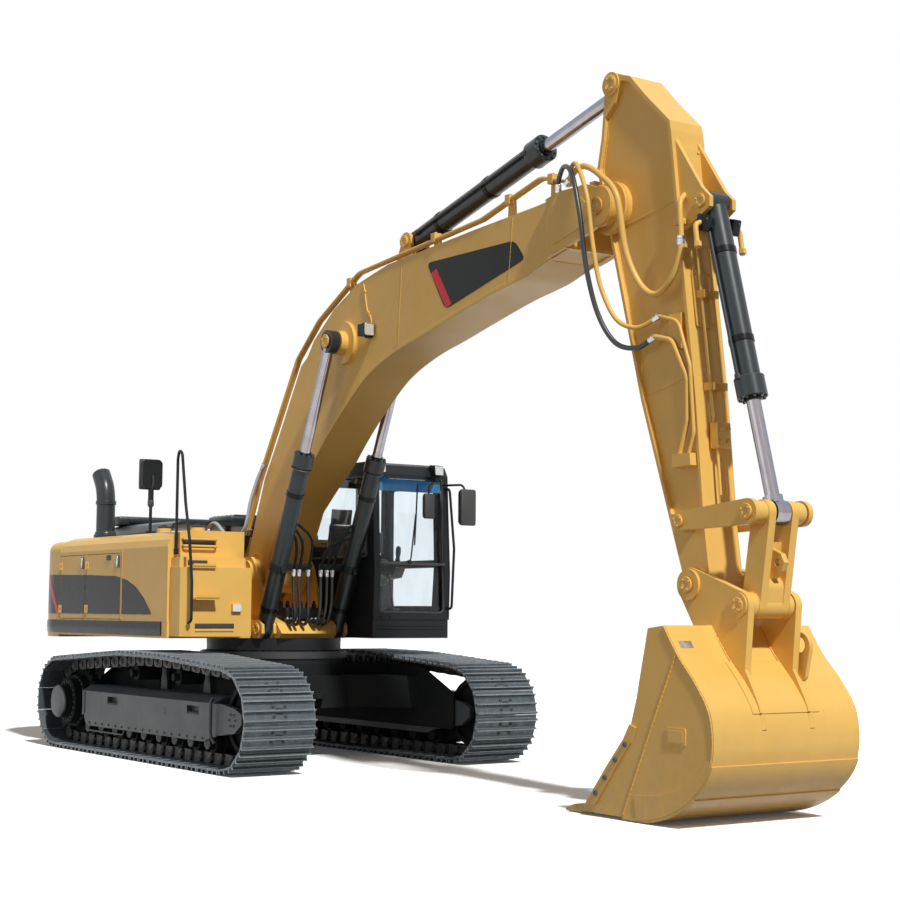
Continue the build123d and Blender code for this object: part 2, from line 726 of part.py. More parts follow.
def build_cab_door():
    """Door with its window cut through."""
    y_low, y_high = CAB_LEFT - 52, CAB_LEFT
    with BuildPart() as door:
        slab([(-52, CAB_FLOOR + 48), (952, CAB_FLOOR + 48), (991, 2000), (952, CAB_ROOF - 158),
              (-52, CAB_ROOF - 158)], y_low, y_high)
        slab([(20, 2080), (915, 2080), (885, CAB_ROOF - 225), (20, CAB_ROOF - 225)], y_low - 1, y_high + 1,
             mode=Mode.SUBTRACT)
        slab([(20, CAB_FLOOR + 140), (880, CAB_FLOOR + 140), (915, 2010), (20, 2010)],
             y_low - 1, y_high + 1, mode=Mode.SUBTRACT)
        knuckles(-52, CAB_LEFT + 8, CAB_LEFT, (1640, 2760))
    return door


def build_door_glass():
    """Upper and lower panes of the door."""
    y_low, y_high = CAB_LEFT - 30, CAB_LEFT - 24
    with BuildPart() as glass:
        slab([(21, 2081), (914, 2081), (884, CAB_ROOF - 226), (21, CAB_ROOF - 226)], y_low, y_high)
        slab([(21, CAB_FLOOR + 141), (879, CAB_FLOOR + 141), (914, 2009), (21, 2009)], y_low, y_high)
    return glass


def build_cab_glass():
    """Windscreen, side, rear and quarter panes."""
    with BuildPart() as glass:
        slab([(CAB_FRONT - 30, CAB_FLOOR + 76), (CAB_FRONT - 24, CAB_FLOOR + 76), (CAB_FRONT - 9, CAB_FLOOR + 500),
              (CAB_FRONT - 69, CAB_ROOF - 151), (CAB_FRONT - 75, CAB_ROOF - 151), (CAB_FRONT - 15, CAB_FLOOR + 500)],
             CAB_RIGHT + 76, CAB_LEFT - 76)
        block((CAB_REAR + 25, CAB_REAR + 31), (CAB_RIGHT + 111, CAB_LEFT - 111), (2251, CAB_ROOF - 171))
        slab([(CAB_REAR + 131, 2101), (CAB_FRONT - 142, 2101), (CAB_FRONT - 171, CAB_ROOF - 161),
              (CAB_REAR + 131, CAB_ROOF - 161)], CAB_RIGHT + 25, CAB_RIGHT + 31)
        slab([(CAB_REAR + 111, 2161), (-151, 2161), (-151, CAB_ROOF - 171), (CAB_REAR + 111, CAB_ROOF - 171)],
             CAB_LEFT - 31, CAB_LEFT - 25)
    return glass


def build_seat():
    """Operator's seat on its pedestal with armrest consoles."""
    mid = (CAB_RIGHT + CAB_LEFT) / 2
    with BuildPart() as seat:
        block((-200, 250), (mid - 150, mid + 150), (CAB_FLOOR + 60, 1800))
        block((-230, 290), (mid - 250, mid + 250), (1800, 1920))
        slab([(-230, 1900), (-110, 1900), (-250, 2500), (-350, 2500)], mid - 240, mid + 240)
        slab([(-262, 2490), (-345, 2490), (-380, 2680), (-290, 2680)], mid - 130, mid + 130)
    return seat


def build_consoles():
    """Side consoles with levers, and pedals in front of the seat."""
    mid = (CAB_RIGHT + CAB_LEFT) / 2
    with BuildPart() as consoles:
        for out in (-1, 1):
            y = sorted((mid + out * 270, mid + out * 400))
            slab([(-150, 1850), (330, 1900), (400, 2010), (360, 2050), (-150, 1990)], y[0], y[1])
            block((-100, 120), y, (CAB_FLOOR + 60, 1900))
            shaft((330, 2000), (350, 2200), 0, 190, 22, mid + out * 335)
            shaft((640, 1512), (560, 1900), 0, 420, 14, mid + out * 90)
            block((560, 700), (mid + out * 90 - 45, mid + out * 90 + 45), (CAB_FLOOR + 60, 1530))
        block((760, 880), (CAB_RIGHT + 75, CAB_RIGHT + 200), (CAB_FLOOR + 60, 2150))
        block((740, 800), (CAB_RIGHT + 75, CAB_RIGHT + 330), (2150, 2370))
    return consoles


BOOM_UPPER = [(-150, 1990), (-120, 2160), (203, 2917), (479, 3319), (952, 4052), (1074, 4128), (1213, 4293),
              (1597, 4557), (2053, 4755), (2608, 4862), (3358, 4907), (4055, 4948), (4982, 4992), (5342, 5020),
              (5640, 5010)]


def boom_top(x):
    """Height of the boom's top plate at a distance forward."""
    for a, b in zip(BOOM_UPPER, BOOM_UPPER[1:]):
        if a[0] <= x <= b[0]:
            return a[1] + (b[1] - a[1]) * (x - a[0]) / (b[0] - a[0])
    return BOOM_UPPER[-1][1]


def build_boom():
    """Bent box boom: side plates, forked tip, foot hub and cylinder bosses."""
    upper = BOOM_UPPER
    lower = [(5690, 4640), (5136, 4514), (4955, 4468), (4226, 4349), (3720, 4243), (3188, 4131), (2739, 4063),
             (2233, 3867), (1832, 3605), (1416, 3268), (1202, 3065), (591, 2587), (300, 2080), (240, 1960)]
    with BuildPart() as boom:
        slab(upper + lower, -BOOM_HALF + 22, BOOM_HALF - 22)
        grow_upper = [(x - 10, z + 12) for x, z in upper]
        grow_lower = [(x + 10, z - 12) for x, z in lower]
        slabs(grow_upper + grow_lower, BOOM_HALF - 22, BOOM_HALF)
        # foot hub, turning between the brackets
        bar(BOOM_FOOT, 205, -BOOM_HALF, BOOM_HALF)
        bar(BOOM_FOOT, 150, -312, 312)
        bar(BOOM_FOOT, 60 + PIN_FIT, -320, 320, mode=Mode.SUBTRACT)
        # forked tip around the stick
        fork = [(5150, 5020), (5342, 5052), (5700, 5042), (5960, 4950), (6010, 4820), (5930, 4700), (5690, 4628),
                (5150, 4510)]
        slabs(fork, BOOM_TIP_IN, BOOM_TIP_OUT)
        slab([(5420, 5060), (5420, 4480), (6200, 4400), (6200, 5200)], -BOOM_TIP_IN, BOOM_TIP_IN,
             mode=Mode.SUBTRACT)
        block((5150, 5415), (-BOOM_TIP_OUT, BOOM_TIP_OUT), (4560, 5000))
        # sloping end plate that the stick's heel clears
        slab([(5450, 4830), (5225, 5040), (5225, 5200), (5800, 5200), (5800, 4830)], -BOOM_TIP_IN, BOOM_TIP_IN,
             mode=Mode.SUBTRACT)
        bars(BOOM_TIP, 165, BOOM_TIP_IN, BOOM_TIP_OUT + 22)
        bar(BOOM_TIP, 62, -BOOM_TIP_OUT - 40, BOOM_TIP_OUT + 40)
        # bosses behind the boom cylinder eyes
        bars(BOOM_CYL_EYE, 215, BOOM_HALF, BOOM_HALF + 40)
        bars(BOOM_CYL_EYE, 120, BOOM_HALF + 40, BOOM_CYL_Y - 62)
        # lugs of the stick cylinder
        for out in (-1, 1):
            ends = sorted((out * 72, out * 112))
            with BuildSketch(side(ends[1])) as lug:
                with Locations(STICK_CYL_FOOT):
                    Circle(92)
                Polygon((2480, 4830), (2860, 4850), (2780, 5070), (2610, 5070), align=None)
            extrude(lug.sketch, amount=40)
        bar(STICK_CYL_FOOT, 50, -130, 130)
    return boom


def tube_line(rise):
    """Run of the tubes above the boom's back, from behind the foot to the tip."""
    return [(-190, 2380 + rise), (60, 2900 + rise), (860, 4120 + rise), (1290, 4470 + rise), (2060, 4850 + rise),
            (4150, 5010 + rise), (5020, 5215 + rise), (5380, 5110 + rise)]


def build_boom_tubes():
    """Steel oil tubes along both edges of the boom's back, each pair held by clamps."""
    groups = []
    for out in (-1, 1):
        with BuildPart() as tubes:
            for y in TUBE_Y:
                pipe([(x, out * y, z) for x, z in tube_line(25)], 17, 220)
            for x, top in ((1900, 4800), (3400, 4995), (4560, 5135), (5170, 5197)):
                low = sorted((out * 192, out * 226))
                foot = [(x - 45, boom_top(x - 45) + 0.3), (x + 45, boom_top(x + 45) + 0.3),
                        (x + 35, top), (x - 35, top)]
                slab(foot, low[0], low[1])
                wide = sorted((out * 192, out * 272))
                slab([(x - 32, top - 40), (x + 32, top - 40), (x + 32, top + 45), (x - 32, top + 45)],
                     wide[0], wide[1])
        groups.append(tubes)
    return groups


def build_boom_lamp():
    """Work lamp on the boom's right side."""
    with BuildPart() as lamp:
        slab([(2250, 4205), (2370, 4205), (2385, 4290), (2370, 4320), (2250, 4320)], -372, -275)
        slab([(2270, 4190), (2350, 4190), (2350, 4230), (2270, 4230)], -300, -BOOM_HALF)
    return lamp


def build_boom_cylinders(rods):
    """Pair of boom cylinders, as barrels or as rods."""
    with BuildPart() as pair:
        for y in (-BOOM_CYL_Y, BOOM_CYL_Y):
            if rods:
                reach = math.dist(BOOM_CYL_FOOT, BOOM_CYL_EYE)
                shaft(BOOM_CYL_FOOT, BOOM_CYL_EYE, 1330, reach, 52.5, y)
                bar(BOOM_CYL_EYE, 112, y - 46, y + 46)
                bar(BOOM_CYL_EYE, 55, y - (58 if y < 0 else 48), y + (58 if y > 0 else 48))
            else:
                shaft(BOOM_CYL_FOOT, BOOM_CYL_EYE, 0, 1920, 88, y)
                shaft(BOOM_CYL_FOOT, BOOM_CYL_EYE, 1800, 1935, 106, y)
                bar(BOOM_CYL_FOOT, 84, y - 46, y + 46)
                shaft(BOOM_CYL_FOOT, BOOM_CYL_EYE, 400, 1960, 52.56, y, mode=Mode.SUBTRACT)
                for edge in (-1, 1):
                    ends = sorted((y + edge * 46, y + edge * 120))
                    bar(BOOM_CYL_FOOT, 128, ends[0], ends[1], mode=Mode.SUBTRACT)
                bar(BOOM_CYL_FOOT, 48 + PIN_FIT, y - 60, y + 60, mode=Mode.SUBTRACT)
    return pair


def build_barrel(foot, eye, length, radius, gland, bore, eye_half, pin):
    """Cylinder barrel with its foot eye and the thick gland at its mouth."""
    with BuildPart() as barrel:
        shaft(foot, eye, 50, length, radius)
        shaft(foot, eye, length - 150, length + 12, gland)
        for edge in (-1, 1):
            ends = sorted((edge * eye_half, edge * 160))
            bar(foot, radius + 45, ends[0], ends[1], mode=Mode.SUBTRACT)
        bar(foot, radius - 8, -eye_half, eye_half)
        shaft(foot, eye, 250, length + 30, bore, mode=Mode.SUBTRACT)
        # oil tube beside the barrel with its two end blocks
        for y in (-radius - 24, ):
            shaft(foot, eye, 190, length - 130, 15, y)
            for reach in (190, length - 170):
                shaft(foot, eye, reach, reach + 40, 26, y + 4)
        bar(foot, pin + PIN_FIT, -160, 160, mode=Mode.SUBTRACT)
    return barrel


def build_rod(foot, eye, start, radius, eye_radius, eye_half, head):
    """Cylinder rod with its eye and the short pin it carries."""
    reach = math.dist(foot, eye)
    with BuildPart() as rod:
        shaft(foot, eye, start, reach, radius)
        shaft(foot, eye, reach - eye_radius - 28, reach - eye_radius + 40, radius + 20)
        bar(eye, eye_radius, -eye_half, eye_half)
        bar(eye, 46, -head, head)
    return rod


def build_stick():
    """Box stick with its nose, hub and lugs."""
    rim = [(5791, 5907), (5887, 5953), (6095, 5879), (6298, 5665), (6573, 5404), (6592, 5320), (6683, 4546),
           (6858, 3150), (6942, 2183), (6999, 1781), (6884, 1640), (6760, 1742), (6689, 1859), (6223, 3211),
           (5682, 5188), (5737, 5428), (5760, 5624)]
    with BuildPart() as stick:
        slab(rim, -STICK_HALF, STICK_HALF)
        # side plates set in behind the edges of the cover plates
        recess = [(5905, 5700), (5985, 5868), (6075, 5840), (6275, 5640), (6543, 5388), (6561, 5316),
                  (6652, 4544), (6826, 3148), (6905, 2290), (6572, 2290), (6253, 3218), (5713, 5188),
                  (5768, 5424), (5790, 5600)]
        slabs(recess, STICK_SIDE, STICK_HALF + 5, mode=Mode.SUBTRACT)
        # pocket for the rod eye, open to the rear
        slab([(5400, 6200), (6000, 6200), (6015, 5890), (6082, 5858), (6280, 5646), (6440, 5470), (6440, 5330),
              (5400, 5330)], -100, 100, mode=Mode.SUBTRACT)
        bars(STICK_NOSE, 100, 100, STICK_HALF + 14)
        # hub in the fork of the boom
        bar(BOOM_TIP, 155, -STICK_HUB, STICK_HUB)
        bars(BOOM_TIP, 215, STICK_SIDE - 5, STICK_HALF + 35)
        bar(BOOM_TIP, 62 + PIN_FIT, -STICK_HUB - 5, STICK_HUB + 5, mode=Mode.SUBTRACT)
        # lugs of the bucket cylinder
        lug = [(6560, 5280), (6600, 5250), (6900, 4805), (6990, 4720), (6990, 4640), (6900, 4590), (6675, 4500)]
        slabs(lug, 100, 138)
        bar(BUCKET_CYL_FOOT, 45, -150, 150)
        # pins of the side links
        bars(LINK_HINGE, 85, STICK_SIDE, 240)
        bars(LINK_HINGE, 42, 240, 306)
        # hub in the ears of the bucket
        bar(BUCKET_PIN, 122, -205, 205)
        bar(BUCKET_PIN, 45 + PIN_FIT, -210, 210, mode=Mode.SUBTRACT)
    return stick


def build_stick_tubes():
    """Steel oil tubes down the stick: a thick pair on the right, a thin one down each front edge."""
    groups = []
    with BuildPart() as pair:
        pipe([(6420, -196, 3690), (6620, -196, 3640), (6790, -196, 3330), (6790, -196, 3000), (6700, -196, 2740)],
             22, 120)
        pipe([(6470, -196, 3850), (6690, -196, 3780), (6850 - 30, -196, 3420), (6860, -196, 2900),
              (6800, -196, 2740)], 15, 120)
        slab([(6640, 2640), (6860, 2650), (6850, 2745), (6650, 2745)], -232, -STICK_SIDE)
        slab([(6560, 3570), (6700, 3570), (6700, 3850), (6560, 3850)], -178, -STICK_SIDE)
    groups.append(pair)
    for out in (-1, 1):
        with BuildPart() as thin:
            run = [(6760, out * 62, 4380), (6828, out * 62, 3840), (6922, out * 62, 3090),
                   (6955, out * 40, 2760), (6985, out * 40, 2420)]
            pipe(run, 11, 90)
            for x, z in ((6800, 3960), (6890, 3230)):
                slab([(x - 45, z), (x + 52, z), (x + 52, z + 60), (x - 45, z + 60)], out * 62 - 20, out * 62 + 20)
            rim_front = [(6600, 5320), (6691, 4546), (6866, 3150), (6950, 2183), (6600, 2183)]
            slab(rim_front, -STICK_HALF, STICK_HALF, mode=Mode.SUBTRACT)
        groups.append(thin)
    return groups


def build_side_links():
    """Pair of side links from the stick to the top of the power link."""
    with BuildPart() as links:
        lobes(LINK_HINGE, LINK_EYE, 72, 96, 250, 292)
        bars(LINK_HINGE, 42 + PIN_FIT, 240, 300, mode=Mode.SUBTRACT)
        bars(LINK_EYE, 52, 292, 306)
    return links


def build_power_link():
    """Power link: open fork at the top, one hub at the bucket."""
    with BuildPart() as link:
        for out in (-1, 1):
            low = sorted((out * 82, out * 150))
            lobe(LINK_EYE, POWER_LINK_PIN, 92, 96, low[0], low[1])
            ends = sorted((out * 150, out * 240))
            bar(LINK_EYE, 84, ends[0], ends[1])
        # web between the plates and the lifting lug on it
        web = [along(POWER_LINK_PIN, LINK_EYE, d, a) for d, a in ((80, -14), (80, 14), (470, 14), (470, -14))]
        slab(web, -90, 90)
        slab([(7440, 1990), (7480, 2010), (7590, 1965), (7625, 1900), (7590, 1840), (7440, 1740)], -24, 24)
        bar((7555, 1900), LINK_LUG, -30, 30, mode=Mode.SUBTRACT)
        low = along(POWER_LINK_PIN, LINK_EYE, 130)
        bar(POWER_LINK_PIN, 96, -205, 205)
        lobe(POWER_LINK_PIN, low, 90, 86, -150, 150)
        bar(POWER_LINK_PIN, 45 + PIN_FIT, -210, 210, mode=Mode.SUBTRACT)
    return link


def bucket_side():
    """Side outline of the bucket from the back of the top around to the lip."""
    return [(6939, 1416), (7124, 1436), (7279, 1222), (7466, 1022), (7601, 817), (7626, 693), (7630, 610),
            (7585, 423), (7434, 243), (7218, 113), (6944, 34), (6647, 24), (6400, 26), (6180, 30), (6222, 80),
            (6494, 400), (6676, 600), (6746, 711), (6810, 900), (6870, 1150)]


def bucket_shell():
    """Section of the curved shell, from the top of the back around to the lip."""
    return [(6939, 1416), (7124, 1436), (7279, 1222), (7466, 1022), (7601, 817), (7626, 693), (7630, 610),
            (7585, 423), (7434, 243), (7218, 113), (6944, 34), (6647, 24), (6180, 30), (6160, 68), (6640, 58),
            (6930, 70), (7204, 146), (7415, 272), (7555, 436), (7594, 612), (7590, 690), (7568, 805),
            (7436, 998), (7250, 1196), (7106, 1396), (6946, 1384)]


def build_bucket():
    """Hollow bucket with ears, side cutters and wear bars."""
    wall = 25
    with BuildPart() as bucket:
        slab(bucket_shell(), -BUCKET_HALF + wall, BUCKET_HALF - wall)
        slabs(bucket_side(), BUCKET_HALF - wall, BUCKET_HALF)
        # ears around both pins
        for out in (-1, 1):
            low = sorted((out * EAR_IN, out * EAR_OUT))
            with BuildSketch(side(low[1])) as ear:
                with Locations(BUCKET_PIN):
                    Circle(130)
                with Locations(POWER_LINK_PIN):
                    Circle(105)
                with Locations((7420, 1080)):
                    Circle(40)
                with Locations((6985, 1400)):
                    Circle(30)
                make_hull()
            extrude(ear.sketch, amount=low[1] - low[0])
        bars(BUCKET_PIN, 118, EAR_OUT, EAR_OUT + 20)
        bars(POWER_LINK_PIN, 92, EAR_OUT, EAR_OUT + 14)
        # side cutters and the wear strips under the shell
        cutter = [(6222, 80), (6494, 400), (6676, 600), (6746, 711), (6815, 690), (6750, 570), (6570, 360),
                  (6350, 90)]
        slabs(cutter, BUCKET_HALF, BUCKET_HALF + 16)
        # ribs from the ears over the curved back
        slabs([(7330, 1150), (7480, 1002), (7610, 812), (7629, 700), (7570, 800), (7440, 990)], EAR_IN + 8,
              EAR_OUT - 8)
        # lifting ring beside the left ear
        with BuildSketch(side(345)) as ring:
            with Locations((7440, 1290)):
                Circle(105)
            with Locations((7440, 1090)):
                Circle(60)
            make_hull()
        extrude(ring.sketch, amount=36)
        bar((7440, 1300), 58, 300, 350, mode=Mode.SUBTRACT)
        bar(BUCKET_PIN, 45, -EAR_OUT - 36, EAR_OUT + 36)
        bar(POWER_LINK_PIN, 45, -EAR_OUT - 12, EAR_OUT + 12)
        # cross plate closing the top between the ears
        slab([(6946, 1384), (6939, 1418), (7124, 1440), (7150, 1400), (7106, 1396)], -BUCKET_HALF, BUCKET_HALF)
    return bucket


def build_teeth():
    """Five teeth along the lip."""
    with BuildPart() as teeth:
        for i in range(5):
            y = (i - 2) * 325
            slab([(6250, 14), (6262, 96), (6040, 66), (5930, 20), (5935, 8), (6060, 8)], y - 48, y + 48)
        slab(bucket_shell(), -BUCKET_HALF, BUCKET_HALF, mode=Mode.SUBTRACT)
    return teeth


def save_group(pieces, name):
    """Label several solids of one body as one piece and write them."""
    group = Compound(label=name, children=[p.part for p in pieces])
    export_step(group, f"parts/{name}.step")


def save(piece, name):
    """Label a finished piece and write it."""
    piece.part.label = name
    export_step(piece.part, f"parts/{name}.step")


# undercarriage
save(build_car_body(), "car_body")
save(build_track_frame(-TRACK_GAUGE / 2), "track_frame_right")
save(build_track_frame(TRACK_GAUGE / 2), "track_frame_left")
save(build_track(-TRACK_GAUGE / 2), "track_right")
save(build_track(TRACK_GAUGE / 2), "track_left")
save(build_sprockets(), "sprockets")
save(build_idlers(), "idlers")
save(build_bottom_rollers(), "bottom_rollers")
save(build_carrier_rollers(), "carrier_rollers")
save(build_swing_ring(970, 1105, 770), "swing_ring_lower")

# upper body
save(build_swing_ring(1112, DECK_BOTTOM, 720), "swing_ring_upper")
save(build_upper_frame(), "upper_frame")
save(build_counterweight(), "counterweight")
save(build_engine(), "engine")
save(build_radiator(), "radiator")
save(build_body_panels(), "body_panels")
save(build_side_door(BAY_REAR, -1640, -1), "right_rear_door")
save(build_side_door(-1610, BAY_FRONT - 30, -1), "right_front_door")
save(build_side_door(BAY_REAR, -1640, 1, 8), "left_rear_door")
save(build_side_door(-1610, BAY_FRONT - 30, 1), "left_front_door")
save(build_engine_hood(), "engine_hood")
save(build_tank(), "tank")
save(build_toolbox(), "toolbox")
save(build_exhaust(), "exhaust")
save_group(build_handrails(), "handrails")
save(build_right_mirror(), "right_mirror")
save_group(build_left_mirrors(), "left_mirrors")
save_group(build_lamps(), "cab_lamps")
save(build_visor(), "visor")
save(build_cab_shell(), "cab_shell")
save(build_cab_door(), "cab_door")
save(build_door_glass(), "door_glass")
save(build_cab_glass(), "cab_glass")
save(build_seat(), "seat")
save(build_consoles(), "consoles")

# digging arm
save(build_boom(), "boom")
save_group(build_boom_tubes(), "boom_tubes")
save(build_boom_lamp(), "boom_lamp")
save(build_boom_cylinders(False), "boom_cylinder_barrels")
save(build_boom_cylinders(True), "boom_cylinder_rods")
save(build_stick(), "stick")
save_group(build_stick_tubes(), "stick_tubes")
save(build_barrel(STICK_CYL_FOOT, STICK_NOSE, 2116, 100, 126, 60.06, 66, 50), "stick_cylinder_barrel")
save(build_rod(STICK_CYL_FOOT, STICK_NOSE, 1440, 60, 92, 62, 76), "stick_cylinder_rod")
save(build_barrel(BUCKET_CYL_FOOT, LINK_EYE, 1602, 92, 116, 55.06, 88, 45), "bucket_cylinder_barrel")
save(build_rod(BUCKET_CYL_FOOT, LINK_EYE, 890, 55, 96, 66, 74), "bucket_cylinder_rod")
save(build_side_links(), "side_links")
save(build_power_link(), "power_link")
save(build_bucket(), "bucket")
save(build_teeth(), "bucket_teeth")
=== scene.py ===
"""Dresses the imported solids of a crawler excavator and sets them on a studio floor."""
import math

import bpy
import numpy as np
from mathutils import Matrix, Vector


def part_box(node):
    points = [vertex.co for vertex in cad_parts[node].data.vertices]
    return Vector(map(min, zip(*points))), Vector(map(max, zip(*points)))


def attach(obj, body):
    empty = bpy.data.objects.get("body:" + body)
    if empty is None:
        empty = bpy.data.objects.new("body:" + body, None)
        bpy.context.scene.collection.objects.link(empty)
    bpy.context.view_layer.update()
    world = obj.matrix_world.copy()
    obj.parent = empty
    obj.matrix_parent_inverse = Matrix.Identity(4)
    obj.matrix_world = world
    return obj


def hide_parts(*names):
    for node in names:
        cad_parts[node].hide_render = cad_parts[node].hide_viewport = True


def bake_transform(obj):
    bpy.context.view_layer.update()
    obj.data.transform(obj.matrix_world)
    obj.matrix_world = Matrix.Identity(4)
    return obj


bl_info = {
    "name": "Crawler excavator",
    "version": (1, 0, 0),
    "blender": (4, 5, 0),
    "location": "View3D > Sidebar > Excavator",
    "description": "Finishes and fittings for the crawler excavator, with a studio floor, lights and camera",
    "category": "Add Mesh",
}

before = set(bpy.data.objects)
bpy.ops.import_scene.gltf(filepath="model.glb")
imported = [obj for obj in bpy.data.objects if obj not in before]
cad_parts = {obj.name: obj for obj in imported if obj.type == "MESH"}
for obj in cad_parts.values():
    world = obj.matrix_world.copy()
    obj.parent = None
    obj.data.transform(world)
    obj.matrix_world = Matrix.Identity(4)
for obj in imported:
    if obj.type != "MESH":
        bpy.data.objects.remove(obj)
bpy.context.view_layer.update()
SWING_X = -2.090        # the swing axis, in metres along the row's X

# pins of the arm in the photographed pose, (forward, up) in millimetres from the foot of the swing axis
BOOM_FOOT_PIN = (50, 1925)
BOOM_BARREL_PIN = (571, 1336)
BOOM_ROD_PIN = (1830, 4195)
STICK_BARREL_PIN = (2693, 5100)
STICK_ROD_PIN = (5865, 5865)
STICK_PIN = (5865, 4825)
BUCKET_BARREL_PIN = (6892, 4699)
SIDE_LINK_PIN = (6792, 2224)
BUCKET_ROD_PIN = (7520, 2268)
BUCKET_PIN = (6884, 1742)
POWER_LINK_PIN = (7405, 1589)

# the tail is round about the swing axis, and a corner arc joins it to each flat side, in millimetres
TAIL_RADIUS = 3450
CORNER_RADIUS = 850
CORNER_Y = 640
BODY_HALF = CORNER_Y + CORNER_RADIUS

# the tracks and wheels, in metres
SHOE_COUNT = 49
TRACK_Y = 1.295
WHEEL_RADIUS = 0.3977
WHEEL_Z = 0.504
SPROCKET_X = -2.020

# the cab's middle between its two sides, in millimetres
CAB_MIDDLE = (545 + 1508) / 2


# surfaces: each maker returns a skin, which is (points, faces), faces being a list of index arrays

def join(skins):
    """One skin of several: the points stacked, and each face list moved on by the points before it."""
    points, faces, start = [], [], 0
    for p, f in skins:
        points.append(p)
        faces += [a + start for a in f]
        start += len(p)
    return np.vstack(points), faces


def grid_faces(rows, cols, close_rows=False, close_cols=False):
    """Quads between neighbours of a rows x cols grid, wrapping round where it is closed."""
    r = np.arange(rows if close_rows else rows - 1)
    c = np.arange(cols if close_cols else cols - 1)
    a, b = (m.ravel() for m in np.meshgrid(r, c, indexing="ij"))
    a2, b2 = (a + 1) % rows, (b + 1) % cols
    return np.stack([a * cols + b, a2 * cols + b, a2 * cols + b2, a * cols + b2], 1)


def sheet_of(points, close_rows=False, close_cols=False, caps=False):
    """A grid of points (rows, cols, 3) as a skin; caps close the first and last row with one face each."""
    rows, cols = points.shape[:2]
    faces = [grid_faces(rows, cols, close_rows, close_cols)]
    if caps:
        first, last = np.arange(cols), (rows - 1) * cols + np.arange(cols)
        faces += [first[None, :], last[None, ::-1]]
    return points.reshape(-1, 3), faces


def frames_along(path, closed=False):
    """Unit tangents, and two normals carried along the path without twist (each is the last one less its
    part along the new tangent)."""
    path = np.asarray(path, float)
    ahead = np.roll(path, -1, 0) - path
    behind = path - np.roll(path, 1, 0)
    if not closed:
        ahead[-1], behind[0] = behind[-1], ahead[0]
    ahead /= np.linalg.norm(ahead, axis=1, keepdims=True)
    behind /= np.linalg.norm(behind, axis=1, keepdims=True)
    t = ahead + behind
    t /= np.linalg.norm(t, axis=1, keepdims=True)
    n = np.cross(t[0], (0, 0, 1) if abs(t[0][2]) < 0.9 else (0, 1, 0))
    normals = []
    for tangent in t:
        n = n - tangent * (n @ tangent)
        n = n / np.linalg.norm(n)
        normals.append(n)
    n = np.array(normals)
    return path, t, n, np.cross(t, n)


def tube(path, radius, sides=12, caps=True):
    """A circle carried along a path: centre + radius (cos a, sin a) in the path's two normals. The radius
    may change from point to point."""
    path, _t, n, b = frames_along(path)
    a = np.linspace(0, 2 * np.pi, sides, endpoint=False)
    r = np.broadcast_to(np.asarray(radius, float), (len(path),))[:, None, None]
    ring = n[:, None] * np.cos(a)[None, :, None] + b[:, None] * np.sin(a)[None, :, None]
    return sheet_of(path[:, None] + r * ring, close_cols=True, caps=caps)


def curve_through(points, steps=8):
    """Points on the cubic that passes through all the given ones: between two of them
    p = 0.5 (2 p1 + (p2 - p0) t + (2 p0 - 5 p1 + 4 p2 - p3) t^2 + (3 p1 - p0 - 3 p2 + p3) t^3)."""
    p = np.asarray(points, float)
    q = np.vstack([2 * p[0] - p[1], p, 2 * p[-1] - p[-2]])
    p0, p1, p2, p3 = (q[i:len(q) - 3 + i][:, None] for i in range(4))
    t = np.linspace(0, 1, steps, endpoint=False)[None, :, None]
    c = 0.5 * (2 * p1 + (p2 - p0) * t + (2 * p0 - 5 * p1 + 4 * p2 - p3) * t ** 2
               + (3 * p1 - p0 - 3 * p2 + p3) * t ** 3)
    return np.vstack([c.reshape(-1, 3), p[-1:]])


def rounded_path(points, radius, steps=5):
    """A run of straight legs whose corners are arcs: at each corner the point slides from one leg to the
    next by (1-t)^2 a + 2t(1-t) corner + t^2 b, with a and b a radius away along the legs."""
    p = np.asarray(points, float)
    out = [p[:1]]
    t = np.linspace(0, 1, steps)[:, None]
    for before, corner, after in zip(p, p[1:], p[2:]):
        u, v = before - corner, after - corner
        lu, lv = np.linalg.norm(u), np.linalg.norm(v)
        a = corner + u / lu * min(radius, lu * 0.45)
        b = corner + v / lv * min(radius, lv * 0.45)
        out.append((1 - t) ** 2 * a + 2 * t * (1 - t) * corner + t ** 2 * b)
    return np.vstack(out + [p[-1:]])


def turned(profile, centre, axis, sides=32):
    """A profile of (distance along the axis, radius) turned round the axis through centre:
    centre + axis s + radius (cos a, sin a). Radii of 0 at the ends close it."""
    profile = np.asarray(profile, float)
    axis = np.asarray(axis, float) / np.linalg.norm(axis)
    n = np.cross(axis, (0, 0, 1) if abs(axis[2]) < 0.9 else (1, 0, 0))
    n /= np.linalg.norm(n)
    b = np.cross(axis, n)
    a = np.linspace(0, 2 * np.pi, sides, endpoint=False)
    ring = n[None, :] * np.cos(a)[:, None] + b[None, :] * np.sin(a)[:, None]
    s = profile[:, 0]
    pts = np.asarray(centre, float) + axis * s[:, None, None] + profile[:, 1][:, None, None] * ring[None]
    return sheet_of(pts, close_cols=True, caps=True)


